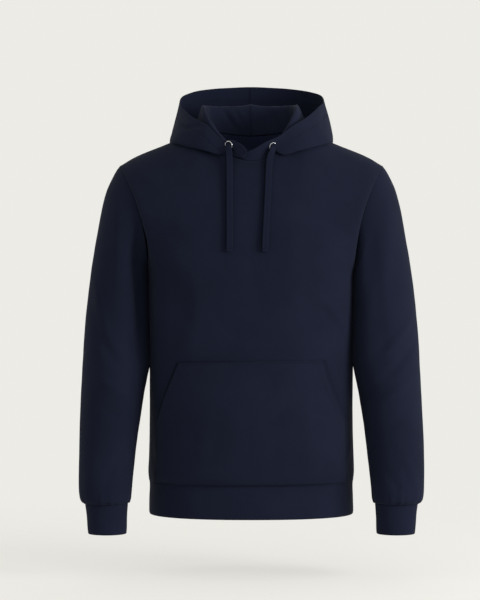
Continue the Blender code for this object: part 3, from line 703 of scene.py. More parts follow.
class Added:
    """A node that was added, with its outputs by name."""

    def __init__(self, nodes: Nodes, node: bpy.types.Node) -> None:
        """Keep the node."""
        self.nodes = nodes
        self.node = node

    def out(self, name: str | int = 0) -> Socket:
        """One of its outputs."""
        return self.node.outputs[name]

    def value(self, name: str | int = 0) -> Value:
        """One of its outputs, as a number to reckon with."""
        return Value(self.nodes, self.out(name))


class Nodes:
    """The node tree of a new material."""

    def __init__(self, name: str) -> None:
        """Make the material and find its shader.

        Args:
            name: The material's name.
        """
        self.material = bpy.data.materials.new(name)
        self.material.use_nodes = True
        self.tree = self.material.node_tree
        self.shader = self.tree.nodes["Principled BSDF"]

    def add(self, kind: str, settings: dict[str, object] | None = None,
            inputs: dict[str | int, object] | None = None) -> Added:
        """Add a node, set it up and feed its sockets.

        Args:
            kind: The node's type.
            settings: Its own properties, such as a Math node's operation.
            inputs: Numbers, colours or links, by the sockets' names or numbers.

        Returns:
            The node.
        """
        node = self.tree.nodes.new(kind)
        for key, setting in (settings or {}).items():
            setattr(node, key, setting)
        for key, value in (inputs or {}).items():
            self.feed(node.inputs[key], value)
        return Added(self, node)

    def feed(self, socket: Socket, value: object) -> None:
        """Give a socket a link or a fixed value.

        Args:
            socket: The socket to feed.
            value: A value, another socket, or a number or colour.
        """
        if isinstance(value, Value):
            self.tree.links.new(value.socket, socket)
        elif isinstance(value, Socket):
            self.tree.links.new(value, socket)
        else:
            socket.default_value = value

    def blend(self, share: Value, start: Colour | Socket, end: Colour) -> Socket:
        """Blend two colours, the first of which may come from a node.

        Args:
            share: 0 for the first, 1 for the second.
            start: The first colour.
            end: The second colour.

        Returns:
            The blended colour.
        """
        node = self.tree.nodes.new("ShaderNodeMix")
        node.data_type = "RGBA"
        self.feed(node.inputs["Factor"], share)
        self.feed(node.inputs[6], (*start, 1) if isinstance(start, tuple) else start)
        self.feed(node.inputs[7], (*end, 1))
        return node.outputs[2]

    def speckle(self, scale: float, detail: float, place: Socket) -> Value:
        """A cloudy pattern from 0 to 1, at a number of clouds to the metre."""
        return self.add("ShaderNodeTexNoise", {}, {
            "Vector": place, "Scale": scale, "Detail": detail, "Roughness": 0.6}).value("Fac")

    def cloth_place(self) -> tuple[Value, Value, Socket]:
        """Find the place on a piece of cloth.

        Returns:
            Metres across, metres along, and the object's own coordinates.
        """
        coordinates = self.add("ShaderNodeTexCoord")
        parts = self.add("ShaderNodeSeparateXYZ", {}, {0: coordinates.out("UV")})
        return parts.value("X"), parts.value("Y"), coordinates.out("Object")

    def fix(self, **constants: float | tuple) -> None:
        """Set constants on the shader's own sockets, with underscores for the names' spaces."""
        for name, value in constants.items():
            self.shader.inputs[name.replace("_", " ")].default_value = value

    def vary(self, name: str, value: object) -> None:
        """Feed one of the shader's sockets."""
        self.feed(self.shader.inputs[name], value)

    def raise_by(self, height: Value, distance: float) -> None:
        """Bump the surface by a height from 0 to 1, over a distance in metres."""
        bump = self.add("ShaderNodeBump", {}, {
            "Height": height, "Distance": distance, "Strength": 1.0})
        self.vary("Normal", bump.out("Normal"))


class Knit(Enum):
    """How a cloth's face is knitted."""

    SMOOTH = "smooth"
    BRUSHED = "brushed"
    RIB = "rib"


@dataclass(frozen=True)
class ClothFinish:
    """Matt knitted cloth: knit grain, a soft nap, uneven dye, painted shade along its finished
    edges and painted shade in its stitch grooves.
    """

    name: str
    knit: Knit
    dark: Colour
    light: Colour
    wale: float = 1.15 * MM
    course: float = 0.95 * MM
    relief: float = 0.16 * MM
    roughness: tuple[float, float] = (0.89, 0.08)     # its least, and what the nap adds
    # the colour of the painted shade in the stitch grooves
    shade: Colour = (0.0012, 0.0018, 0.0046)
    sheen: float = 0.035
    sheen_tint: Colour = (0.45, 0.50, 0.72)
    cloud_scale: float = 9.0
    cloud_range: tuple[float, float] = (0.30, 0.70)
    cloud_share: float = 0.35
    fibre_scale: float = 900.0
    fibre_share: float = 0.50
    lint_scale: float = 260.0
    lint_range: tuple[float, float] = (0.66, 0.80)
    lint_share: float = 0.15
    # how much painted shade the seam attribute lays along the finished edges
    seam_share: float = 0.08
    tuft_scale: float = 420.0
    rib_wales: float = 2.1
    leg_slant: float = 2.6
    smooth_mix: tuple[float, float, float] = (0.34, 0.30, 0.36)
    brushed_mix: tuple[float, float] = (0.7, 0.3)
    rib_mix: tuple[float, float, float] = (0.62, 0.16, 0.22)

    def make(self) -> Material:
        """Build the material.

        Returns:
            The material.
        """
        nodes = Nodes(self.name)
        across, along, place = nodes.cloth_place()
        clouds = nodes.speckle(self.cloud_scale, 3.0, place).between(*self.cloud_range)
        fibres = nodes.speckle(self.fibre_scale, 2.0, place)
        lint = nodes.speckle(self.lint_scale, 3.0, place).between(*self.lint_range)
        # painted shade along the finished edges, from the seam attribute
        seam = nodes.add("ShaderNodeAttribute", {"attribute_name": "seam"}).value("Fac")
        tone = (clouds * self.cloud_share + fibres * self.fibre_share
                + lint * self.lint_share - seam * self.seam_share)
        # painted shade in the stitch grooves
        furrow_shade = nodes.add("ShaderNodeAttribute", {"attribute_name": "furrow_shade"}).value("Fac")
        nodes.vary("Base Color", nodes.blend(
            furrow_shade, nodes.blend(tone, self.dark, self.light), self.shade))
        nodes.vary("Roughness", fibres * self.roughness[1] + self.roughness[0])
        nodes.raise_by(self._height(nodes, across, along, place, fibres), self.relief)
        nodes.fix(Sheen_Weight=self.sheen, Sheen_Roughness=0.45,
                  Sheen_Tint=(*self.sheen_tint, 1), Specular_IOR_Level=0.07)
        return nodes.material

    def _height(self, nodes: Nodes, across: Value, along: Value, place: Socket,
                fibres: Value) -> Value:
        """The height of the knit and its nap, from 0 to 1.

        Args:
            nodes: The material's nodes.
            across: Metres across the cloth.
            along: Metres along it.
            place: The object's own coordinates.
            fibres: The nap's fine pattern.

        Returns:
            The height.
        """
        if self.knit is Knit.RIB:
            ribs, loops, nap = self.rib_mix
            rib = (across * (math.tau / (self.rib_wales * self.wale))).sine() * 0.5 + 0.5
            loop = (along * (math.tau / self.course)).sine() * 0.5 + 0.5
            return rib * ribs + loop * loops + fibres * nap
        if self.knit is Knit.BRUSHED:
            tufts, nap = self.brushed_mix
            return nodes.speckle(self.tuft_scale, 4.0, place) * tufts + fibres * nap
        legs, loops, nap = self.smooth_mix
        leg = abs((across * (1 / self.wale)).fraction() - 0.5) * 2.0
        loop = (along * (math.tau / self.course) + leg * self.leg_slant).sine() * 0.5 + 0.5
        return (1.0 - leg) * legs + loop * loops + fibres * nap


@dataclass(frozen=True)
class BraidFinish:
    """Flat braid: slanting strands that meet in chevrons along the cord, with painted shade along
    its edges.
    """

    name: str = "flat_braid"
    dark: Colour = (0.0040, 0.0051, 0.0120)
    light: Colour = (0.0098, 0.0123, 0.0272)
    shade: Colour = (0.0008, 0.0012, 0.0032)
    strand: float = 2.1 * MM
    rows: float = 3.0
    width: float = 13.0 * MM
    relief: float = 0.35 * MM
    roughness: tuple[float, float] = (0.72, 0.15)
    chevron: float = 3.4
    fibre_scale: float = 1400.0
    height_mix: tuple[float, float, float] = (0.55, 0.20, 0.25)
    # painted shade where the braid turns away from the key lamp, darker on the -X side: which way,
    # from and to which share of its half, and how dark
    turned: tuple[tuple[float, float, float, float], ...] = (
        (-2.0, 0.60, 0.92, 0.92), (2.0, 0.76, 1.0, 0.35))

    def make(self) -> Material:
        """Build the material.

        Returns:
            The material.
        """
        nodes = Nodes(self.name)
        across, along, place = nodes.cloth_place()
        slant = abs((across * (self.rows / self.width)).fraction() - 0.5) * 2.0
        strand = (along * (math.tau / self.strand) + slant * self.chevron).sine() * 0.5 + 0.5
        fibres = nodes.speckle(self.fibre_scale, 2.0, place)
        strands, crown, nap = self.height_mix
        height = strand * strands + (1.0 - slant) * crown + fibres * nap
        # painted shade along the braid's two edges, stronger on the -X edge
        right, left = ((across * (way / self.width)).between(low, high) * deep
                       for way, low, high, deep in self.turned)
        nodes.vary("Base Color", nodes.blend(
            right + left, nodes.blend(height, self.dark, self.light), self.shade))
        nodes.vary("Roughness", fibres * self.roughness[1] + self.roughness[0])
        nodes.raise_by(height, self.relief)
        nodes.fix(Sheen_Weight=0.01, Sheen_Roughness=0.5, Specular_IOR_Level=0.03)
        return nodes.material


@dataclass(frozen=True)
class ThreadFinish:
    """Sewing thread, a little smoother than the cloth."""

    name: str = "navy_thread"
    dark: Colour = (0.0042, 0.0055, 0.0125)
    light: Colour = (0.0092, 0.0115, 0.0250)
    twist_scale: float = 2600.0
    relief: float = 0.05 * MM
    roughness: tuple[float, float] = (0.55, 0.20)

    def make(self) -> Material:
        """Build the material.

        Returns:
            The material.
        """
        nodes = Nodes(self.name)
        _, _, place = nodes.cloth_place()
        twist = nodes.speckle(self.twist_scale, 1.0, place)
        nodes.vary("Base Color", nodes.blend(twist, self.dark, self.light))
        nodes.vary("Roughness", twist * self.roughness[1] + self.roughness[0])
        nodes.raise_by(twist, self.relief)
        nodes.fix(Specular_IOR_Level=0.10)
        return nodes.material


@dataclass(frozen=True)
class NickelFinish:
    """Bright nickel with fine rubbed scratches and a duller film."""

    name: str = "bright_nickel"
    dull: Colour = (0.26, 0.26, 0.28)
    bright: Colour = (0.66, 0.66, 0.67)
    film_scale: float = 420.0
    film_range: tuple[float, float] = (0.35, 0.60)
    scratch_scale: float = 3200.0
    relief: float = 0.02 * MM
    # its least, and what the film and the scratches add
    roughness: tuple[float, float, float] = (0.12, 0.16, 0.10)

    def make(self) -> Material:
        """Build the material.

        Returns:
            The material.
        """
        nodes = Nodes(self.name)
        _, _, place = nodes.cloth_place()
        film = nodes.speckle(self.film_scale, 3.0, place)
        scratch = nodes.speckle(self.scratch_scale, 2.0, place)
        rubbed = film.between(*self.film_range)
        least, filmed, scratched = self.roughness
        nodes.vary("Base Color", nodes.blend(rubbed, self.dull, self.bright))
        nodes.vary("Roughness", film * filmed + scratch * scratched + least)
        nodes.raise_by(scratch, self.relief)
        nodes.fix(Metallic=1.0)
        return nodes.material


@dataclass
class Wardrobe:
    """Every finish of the garment, made once."""

    navy_dark: Colour = (0.0048, 0.0064, 0.0149)
    navy_light: Colour = (0.0084, 0.0109, 0.0247)
    # scales for the inner sides' colours: on the sleeves', pocket's and hood's partly for the nap
    # and partly painted light, on the body panels' mostly painted light
    brushed: float = 1.06
    napped: float = 3.1
    face: Material = field(init=False)
    inside: Material = field(init=False)
    body_inside: Material = field(init=False)
    rib: Material = field(init=False)
    braid: Material = field(init=False)
    thread: Material = field(init=False)
    nickel: Material = field(init=False)

    def __post_init__(self) -> None:
        """Make the materials."""
        dark, light = self.navy_dark, self.navy_light
        self.face = ClothFinish("navy_fleece", Knit.SMOOTH, dark, light).make()
        self.inside = self._nap("navy_fleece_inside", self.brushed)
        self.body_inside = self._nap("navy_fleece_body_inside", self.napped)
        self.rib = ClothFinish("navy_rib", Knit.RIB, dark, light).make()
        self.braid = BraidFinish().make()
        self.thread = ThreadFinish().make()
        self.nickel = NickelFinish().make()

    def _nap(self, name: str, nap_and_painted_light: float) -> Material:
        """The cloth's brushed back, its colours scaled up: partly for the nap, and partly, on the
        body's inside by far the most, as painted light on an inside that lies in shade.
        """
        dark, light = (tuple(part * nap_and_painted_light for part in colour)
                       for colour in (self.navy_dark, self.navy_light))
        return ClothFinish(name, Knit.BRUSHED, dark, light, relief=0.35 * MM).make()


# ---- Folds ----

class Fold(NamedTuple):
    """A soft ridge or trough, drawn on a piece in that piece's own two coordinates."""

    height: float      # millimetres; below 0 is a trough
    width: float       # millimetres from the middle to where it has nearly gone
    path: tuple[tuple[float, float], ...]


class Relief:
    """All the folds of the garment, in space, so that they run on across the seams."""

    STEPS = 8
    REACH = 2.4
    TIP = 0.02
    TIP_POWER = 0.8
    TIP_WIDTH = 0.55
    FALL = 1.6

    def __init__(self) -> None:
        """Start with smooth cloth."""
        self.lines: list[tuple[np.ndarray, float, float]] = []

    def draw(self, folds: Iterable[Fold], place: Callable[[float, float], Vector]) -> None:
        """Add folds that are drawn on a piece.

        Args:
            folds: The folds.
            place: Gives the point in space for a fold's two coordinates.
        """
        for fold in folds:
            corners = [np.array(place(*pair)) for pair in fold.path]
            self.lines.append((self._curve(corners), fold.height * MM, fold.width * MM))

    def _curve(self, corners: list[np.ndarray]) -> np.ndarray:
        """A smooth line through a few points.

        Args:
            corners: The points.

        Returns:
            The line's points, one in a row.
        """
        ends = [2 * corners[0] - corners[1]] + corners + [2 * corners[-1] - corners[-2]]
        line = []
        for a, b, c, d in zip(ends, ends[1:], ends[2:], ends[3:]):
            for step in range(self.STEPS):
                t = step / self.STEPS
                line.append(0.5 * (2 * b + (c - a) * t + (2 * a - 5 * b + 4 * c - d) * t * t
                                   + (3 * b - a - 3 * c + d) * t ** 3))
        return np.array(line + [corners[-1]])

    def heights(self, points: np.ndarray) -> np.ndarray:
        """How far each point is raised.

        Args:
            points: Points in space, one in a row.

        Returns:
            A height for each.
        """
        total = np.zeros(len(points))
        for line, height, width in self.lines:
            reach = self.REACH * width
            near = np.all((points > line.min(0) - reach) & (points < line.max(0) + reach), axis=1)
            if near.any():
                total[near] += height * self._shape(points[near], line, width)
        return total

    def _shape(self, points: np.ndarray, line: np.ndarray, width: float) -> np.ndarray:
        """A fold's cross shape and its fading ends, from 0 to 1.

        Args:
            points: Points in space, one in a row.
            line: The fold's line.
            width: Its width.

        Returns:
            The share of the fold's height at each point.
        """
        nearest = np.full(len(points), np.inf)
        along = np.zeros(len(points))
        for index, (start, end) in enumerate(zip(line, line[1:])):
            way = end - start
            t = np.clip((points - start) @ way / max(way @ way, 1e-12), 0, 1)
            away = np.linalg.norm(points - start - t[:, None] * way, axis=1)
            closer = away < nearest
            nearest[closer] = away[closer]
            along[closer] = (index + t[closer]) / (len(line) - 1)
        fade = np.sin(np.pi * np.clip(along, self.TIP, 1 - self.TIP)) ** self.TIP_POWER
        width *= mix(self.TIP_WIDTH, 1.0, fade)
        return np.exp(-(self.FALL * nearest / width) ** 2) * fade


# ---- Cloth ----

class Edge(Enum):
    """How an edge of a piece of cloth is finished."""

    SEAM = "turned in and sewn to the next piece"
    RIM = "folded over into a round edge"
    NONE = "no edge, as the piece closes on itself"


class Edges(NamedTuple):
    """The finish of the four edges of a piece."""

    start: Edge = Edge.SEAM      # u = 0
    end: Edge = Edge.SEAM        # u = 1
    bottom: Edge = Edge.SEAM     # v = 0
    top: Edge = Edge.SEAM        # v = 1


class Groove(NamedTuple):
    """A row of stitches that sinks a little into the cloth beside an edge, with painted shade along
    it.
    """

    edge: str
    distance: float
    depth: float = 0.45 * MM
    width: float = 1.3 * MM
    # how much painted shade the groove gets, as a share towards the cloth's shade colour
    shade: float = 0.15


class Gather(NamedTuple):
    """Small uneven puckers that run out from a gathered seam."""

    edge: str
    spacing: float
    height: float
    reach: float


@dataclass
class Cloth:
    """A piece of cloth: a grid over a surface, with folds, edges and a thickness."""

    name: str
    surface: Surface
    outward: float
    columns: int
    blocks: tuple[tuple[float, float, int], ...]
    thickness: float
    edges: Edges = Edges()
    grooves: tuple[Groove, ...] = ()
    gathers: tuple[Gather, ...] = ()
    reference: float = 0.5
    soften: int = 0
    roll: float = 0.5 * MM
    close_lines: tuple[float, ...] = (0.0, 0.06 * MM, 0.18 * MM, 0.35 * MM, 0.5 * MM, 1.0 * MM,
                                      2.0 * MM, 3.6 * MM, 6.0 * MM)
    samples: int = 40
    still: float = 2 * MM
    ease: float = 14 * MM
    calm: float = 25 * MM
    least_wall: float = 0.5 * MM
    seam_shadow: float = 1.2 * MM
    waves: tuple[tuple[float, float], ...] = ((11.0, 1.1), (34.0, 0.35))   # per metre, mm high
    least_wave: float = 0.15
    pucker_start: float = 1.5 * MM
    outer: np.ndarray = field(init=False)
    normals: np.ndarray = field(init=False)
    away: dict[str, np.ndarray] = field(init=False)
    across: np.ndarray = field(init=False)
    along: np.ndarray = field(init=False)
    skin: np.ndarray = field(init=False)

    @property
    def tube(self) -> bool:
        """Whether the piece closes on itself."""
        return self.edges.start is Edge.NONE

    def lay(self, relief: Relief) -> None:
        """Lay the grid over the surface and raise its folds.

        Args:
            relief: The garment's folds.
        """
        across = self._across_stations()
        self.outer = np.array([self._column(u) for u in across])
        self._measure()
        self._smooth()
        self.normals = self._directions()
        rows = self.outer.reshape(-1, 3)
        raised = relief.heights(rows) + self._ripple(rows)
        raised = raised.reshape(self.outer.shape[:2]) + self._gathered() - self._grooved()
        self.outer = self.outer + self.normals * raised[..., None]
        self.normals = self._directions()

    def _lines(self, count: int, length: float, start: bool, end: bool) -> np.ndarray:
        """Shares of a length: even ones, and close lines next to finished edges.

        Args:
            count: How many even steps.
            length: The length they share.
            start: Whether its start is a finished edge.
            end: Whether its end is one.

        Returns:
            The shares, rising from 0 to 1.
        """
        close = np.array(self.close_lines) / length
        first = close if start else np.array([0.0])
        last = 1 - close[::-1] if end else np.array([1.0])
        inner = first[-1] + (last[0] - first[-1]) * np.arange(1, count) / count
        return np.concatenate((first, inner, last))

    def _spaced(self, curve: Callable[[float], Vector], span: tuple[float, float], count: int,
                start: bool, end: bool) -> np.ndarray:
        """Parameters that space points evenly along a curve.

        Args:
            curve: Gives a point for a parameter.
            span: The first and the last parameter.
            count: How many even steps.
            start: Whether its start is a finished edge.
            end: Whether its end is one.

        Returns:
            The parameters.
        """
        steps = np.linspace(*span, self.samples + 1)
        points = np.array([curve(t) for t in steps])
        lengths = np.append(0.0, np.cumsum(np.linalg.norm(np.diff(points, axis=0), axis=1)))
        shares = self._lines(count, lengths[-1], start, end)
        return np.interp(shares * lengths[-1], lengths, steps)

    def _across_stations(self) -> np.ndarray:
        """Where the grid's columns stand, spaced evenly on the reference row."""
        return self._spaced(lambda u: self.surface(u, self.reference), (0.0, 1.0), self.columns,
                            self.edges.start is not Edge.NONE, self.edges.end is not Edge.NONE)

    def _column(self, u: float) -> np.ndarray:
        """The points of one column, spaced evenly in each block of rows.

        Args:
            u: The column's place across.

        Returns:
            The points, one in a row.
        """
        params: list[float] = []
        for number, (low, high, count) in enumerate(self.blocks):
            first, last = number == 0, number == len(self.blocks) - 1
            params += list(self._spaced(lambda v: self.surface(u, v), (low, high), count,
                                        first, last)[0 if first else 1:])
        return np.array([self.surface(u, v) for v in params])

    def _measure(self) -> None:
        """Work out each point's distance from the four edges, along the grid."""
        across = np.linalg.norm(np.diff(self.outer, axis=0), axis=2)
        along = np.linalg.norm(np.diff(self.outer, axis=1), axis=2)
        zeros_u = np.zeros((1, self.outer.shape[1]))
        zeros_v = np.zeros((self.outer.shape[0], 1))
        from_start = np.concatenate((zeros_u, np.cumsum(across, axis=0)), axis=0)
        from_bottom = np.concatenate((zeros_v, np.cumsum(along, axis=1)), axis=1)
        self.away = {"start": from_start, "end": from_start[-1] - from_start,
                     "bottom": from_bottom, "top": from_bottom[:, -1:] - from_bottom}
        middle = self.outer.shape[1] // 2
        self.across = from_start[:, middle] - from_start[-1, middle] / 2
        self.along = from_bottom

    def _edge_distance(self) -> np.ndarray:
        """Each point's distance from the nearest finished edge."""
        return np.minimum.reduce([self.away[name] for name in Edges._fields
                                  if getattr(self.edges, name) is not Edge.NONE])

    def _smooth(self) -> None:
        """Even out sharp changes of slope inside the piece, and leave its edges."""
        inside = (self._edge_distance() - self.still) / self.ease
        weight = np.clip(inside, 0, 1)[..., None] * 0.5
        for _ in range(self.soften):
            left, right = self._neighbours(self.outer)
            low = np.concatenate((self.outer[:, :1], self.outer[:, :-1]), axis=1)
            high = np.concatenate((self.outer[:, 1:], self.outer[:, -1:]), axis=1)
            mean = (left + right + low + high) / 4
            self.outer = self.outer + (mean - self.outer) * weight

    def _neighbours(self, grid: np.ndarray) -> tuple[np.ndarray, np.ndarray]:
        """The grid moved by one column each way, round the join of a tube.

        Args:
            grid: Points by column and row.

        Returns:
            The columns before and the columns after.
        """
        if self.tube:
            return (np.concatenate((grid[-2:-1], grid[:-1])), np.concatenate((grid[1:], grid[1:2])))
        return np.concatenate((grid[:1], grid[:-1])), np.concatenate((grid[1:], grid[-1:]))

    def _directions(self) -> np.ndarray:
        """The direction outwards at each point.

        Returns:
            A direction for each point of the grid.
        """
        left, right = self._neighbours(self.outer)
        across = right - left
        along = np.gradient(self.outer, axis=1)
        normals = np.cross(across, along) * self.outward
        return normals / np.maximum(np.linalg.norm(normals, axis=2, keepdims=True), 1e-12)

    def _ripple(self, points: np.ndarray) -> np.ndarray:
        """The slight unevenness of hanging cloth.

        Args:
            points: The grid's points, one in a row.

        Returns:
            A height for each.
        """
        fade = np.clip(self._edge_distance() / self.calm, self.least_wave, 1).reshape(-1)
        broad, fine = (np.array([noise.noise(Vector(p) * scale) for p in points]) * height * MM
                       for scale, height in self.waves)
        return (broad + fine) * fade

    def _gathered(self) -> np.ndarray:
        """The puckers beside gathered seams.

        Returns:
            A height for each point of the grid.
        """
        total = np.zeros(self.outer.shape[:2])
        for gather in self.gathers:
            position = self._position_along(gather.edge) / gather.spacing
            # waves of no common length, so that no two puckers are alike
            wander = 0.9 * np.sin(1.7 * position) + 0.6 * np.sin(0.61 * position + 1.3)
            size = 0.55 + 0.45 * np.sin(0.83 * position + 0.4)
            wave = np.sin(math.tau * position / 2 + wander) * size
            away = self.away[gather.edge]
            shape = np.exp(-away / gather.reach) * (1 - np.exp(-away / self.pucker_start))
            total += gather.height * wave * shape
        return total

    def _position_along(self, edge: str) -> np.ndarray:
        """How far along an edge each point lies."""
        level = np.repeat(self.across[:, None], self.outer.shape[1], axis=1)
        return level if edge in ("bottom", "top") else self.along

    def _grooved(self, size: str = "depth") -> np.ndarray:
        """The depth or the shade of the rows of stitches.

        Args:
            size: Which to give: depth or shade.

        Returns:
            The number for each point of the grid.
        """
        total = np.zeros(self.outer.shape[:2])
        for groove in self.grooves:
            away = np.abs(self.away[groove.edge] - groove.distance)
            total += getattr(groove, size) * np.exp(-(away / groove.width) ** 2)
        return total

    def _depths(self) -> tuple[np.ndarray, np.ndarray]:
        """How far the outer and the inner side lie below the outer surface.

        Returns:
            The two depths for each point: a seam's edge turns in, a rim's two sides meet.
        """
        outer = np.zeros(self.outer.shape[:2])
        rim = np.zeros(self.outer.shape[:2])
        for name in Edges._fields:
            finish = getattr(self.edges, name)
            if finish is Edge.SEAM:
                outer = np.maximum(outer, self._quarter(self.away[name], self.roll))
            elif finish is Edge.RIM:
                rim = np.maximum(rim, self._quarter(self.away[name], self.thickness / 2))
        inner = np.maximum(self.thickness - rim, outer + self.least_wall)
        outer = np.maximum(outer, rim)
        at_rim = rim >= self.thickness / 2 * 0.999
        inner[at_rim] = outer[at_rim]
        return outer, np.maximum(inner, outer)

    @staticmethod
    def _quarter(away: np.ndarray, radius: float) -> np.ndarray:
        """The depth of a quarter circle at distances from where it ends."""
        short = 1 - np.clip(away / radius, 0, 1)
        return radius * (1 - np.sqrt(np.maximum(1 - short * short, 0)))

    def tailor(self, relief: Relief, node: str, slot: str, finishes: tuple[Material, Material],
               **sheet: object) -> Cloth:
        """Args:
            relief: The garment's folds.
            node: The solid that it stands for.
            slot: The material slot; not used.
            finishes: The outer and the inner finish.
            sheet: The flat size, the hold and what it rests on; not used.

        Returns:
            This piece.
        """
        self.lay(relief)
        piece = self.make(*finishes)
        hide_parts(node)
        return self

    def make(self, face: Material, inside: Material) -> bpy.types.Object:
        """Build the piece as a closed thin shell.

        Args:
            face: The finish of the outer side.
            inside: The finish of the inner side.

        Returns:
            The piece.
        """
        outer_depth, inner_depth = self._depths()
        sides = (self.outer - self.normals * outer_depth[..., None],
                 self.outer - self.normals * inner_depth[..., None])
        columns, rows = self.outer.shape[0] - 1, self.outer.shape[1] - 1
        bm = bmesh.new()
        bmesh.ops.create_grid(bm, x_segments=columns, y_segments=rows, size=0.5)
        layers = {name: bm.verts.layers.float.new(name)
                  for name in ("across", "along", "seam", "furrow_shade")}
        number = {name: bm.verts.layers.int.new(name) for name in ("column", "row")}
        # painted shade: darkest at every finished edge, fading inwards
        dark = np.exp(-self._edge_distance() / self.seam_shadow)
        # painted shade in the stitch grooves, by each groove's shade
        furrow_shade = self._grooved("shade")
        for vert in bm.verts:
            column = round((vert.co.x + 0.5) * columns)
            row = round((vert.co.y + 0.5) * rows)
            vert[number["column"]], vert[number["row"]] = column, row
            vert[layers["across"]] = self.across[column]
            vert[layers["along"]] = self.along[column, row]
            vert[layers["seam"]] = dark[column, row]
            vert[layers["furrow_shade"]] = furrow_shade[column, row]
            vert.co = sides[0][column, row]
        if self.tube:
            bmesh.ops.remove_doubles(bm, verts=bm.verts, dist=WELD)
        added = bmesh.ops.extrude_face_region(bm, geom=bm.faces[:], use_keep_orig=True)["geom"]
        for item in added:
            if isinstance(item, bmesh.types.BMVert):
                item.co = sides[1][item[number["column"]], item[number["row"]]]
            elif isinstance(item, bmesh.types.BMFace):
                item.material_index = 1
        bmesh.ops.remove_doubles(bm, verts=bm.verts, dist=WELD)
        bmesh.ops.dissolve_degenerate(bm, edges=bm.edges, dist=1e-7)
        bmesh.ops.recalc_face_normals(bm, faces=bm.faces[:])
        self._unwrap(bm, layers["across"], layers["along"])
        for layer in number.values():
            bm.verts.layers.int.remove(layer)
        piece = finish_mesh(bm, self.name, (face, inside))
        self.skin = sides[0]
        return piece

    def _unwrap(self, bm: bmesh.types.BMesh, across: object, along: object) -> None:
        """Give the faces their place on the flat cloth, in metres.

        Args:
            bm: The piece's mesh.
            across: The layer of places across.
            along: The layer of places along.
        """
        uv = bm.loops.layers.uv.new("cloth")
        whole = self.across[-1] - self.across[0]
        for face in bm.faces:
            places = [loop.vert[across] for loop in face.loops]
            wraps = self.tube and max(places) - min(places) > whole / 2
            for loop, place in zip(face.loops, places):
                if wraps and place < 0:
                    place += whole
                loop[uv].uv = (place, loop.vert[along])

    def line(self, edge: str, distance: float, span: tuple[float, float] = (0.0, 1.0),
             lift: float = 0.0) -> Row:
        """A line on the outer side, beside one of the edges.

        Args:
            edge: The edge it runs beside.
            distance: How far from it.
            span: The stretch of the edge, as shares of its grid lines.
            lift: How far over the cloth.

        Returns:
            Points and the directions outwards there.
        """
        away = self.away[edge]
        outer, normals = self.skin, self.normals
        if edge in ("start", "end"):
            away, outer, normals = away.T, outer.transpose(1, 0, 2), normals.transpose(1, 0, 2)
        count = len(outer)
        first, last = round(span[0] * (count - 1)), round(span[1] * (count - 1))
        found = []
        for index in range(first, last + 1):
            order = np.argsort(away[index])
            place = [np.interp(distance, away[index][order], outer[index][order, axis])
                     for axis in range(3)]
            facing = [np.interp(distance, away[index][order], normals[index][order, axis])
                      for axis in range(3)]
            direction = Vector(facing).normalized()
            found.append((Vector(place) + direction * lift, direction))
        return found


def finish_mesh(bm: bmesh.types.BMesh, name: str,
                finishes: Sequence[Material]) -> bpy.types.Object:
    """Turn a bmesh into a smooth piece of the object.

    Args:
        bm: The mesh, which is freed.
        name: The piece's name.
        finishes: Its materials, in slot order.

    Returns:
        The piece, riding on the body.
    """
    mesh = bpy.data.meshes.new(name)
    bm.to_mesh(mesh)
    bm.free()
    for finish in finishes:
        mesh.materials.append(finish)
    mesh.shade_smooth()
    piece = bpy.data.objects.new(name, mesh)
    bpy.context.scene.collection.objects.link(piece)
    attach(piece, BODY_NAME)
    LOG.info("%s: %d faces", name, len(mesh.polygons))
    return piece


@dataclass
class Stitching:
    """Rows of sewing stitches, joined into one piece."""

    name: str
    pitch: float = 3.1 * MM
    length: float = 2.5 * MM
    radius: float = 0.30 * MM
    sink: float = 0.06 * MM
    rows: list[Row] = field(default_factory=list)

    def sew(self, *rows: Row) -> None:
        """Add rows, each as points with their directions outwards."""
        self.rows.extend(rows)

    def make(self, thread: Material) -> bpy.types.Object:
        """Build the stitches along every row.

        Args:
            thread: The thread's finish.

        Returns:
            The piece.
        """
        single = bmesh.new()
        size = Matrix.Diagonal((self.length / 2, self.radius, self.radius, 1))
        bmesh.ops.create_uvsphere(single, u_segments=6, v_segments=4, radius=1,
                                  matrix=size @ Matrix.Rotation(math.pi / 2, 4, "Y"))
        bmesh.ops.recalc_face_normals(single, faces=single.faces[:])
        stitch = bpy.data.meshes.new("single_stitch")
        single.to_mesh(stitch)
        single.free()
        places = [self._seat(*spot) for row in self.rows for spot in self._spots(row)]
        bm = bmesh.new()
        for _ in places:
            bm.from_mesh(stitch)
        for number, vert in enumerate(bm.verts):
            vert.co = places[number // len(stitch.vertices)] @ vert.co
        bpy.data.meshes.remove(stitch)
        return finish_mesh(bm, self.name, (thread,))

    def _seat(self, place: Vector, outward: Vector, along: Vector) -> Matrix:
        """The transform that lays a stitch on the cloth, by its middle and two directions."""
        turn = Matrix((along, outward.cross(along).normalized(), outward)).transposed().to_4x4()
        return Matrix.Translation(place + outward * (self.radius / 2 - self.sink)) @ turn

    def _spots(self, row: Row) -> Iterable[tuple[Vector, Vector, Vector]]:
        """The stitches' places along a row.

        Args:
            row: Its points and their directions outwards.

        Returns:
            Middles, directions outwards and directions along.
        """
        points = np.array([point for point, _ in row])
        facing = np.array([direction for _, direction in row])
        lengths = np.append(0.0, np.cumsum(np.linalg.norm(np.diff(points, axis=0), axis=1)))
        count = max(int(lengths[-1] / self.pitch), 1)
        pitch = lengths[-1] / count
        for index in range(count):
            middle = (index + 0.5) * pitch
            ends = [Vector([np.interp(middle + shift, lengths, points[:, axis])
                            for axis in range(3)])
                    for shift in (-self.length / 2, 0.0, self.length / 2)]
            outward = Vector([np.interp(middle, lengths, facing[:, axis]) for axis in range(3)])
            along = (ends[2] - ends[0]).normalized()
            outward = (outward - along * outward.dot(along)).normalized()
            yield (ends[0] + ends[1] * 2 + ends[2]) / 4, outward, along


# ---- The pieces of the garment ----

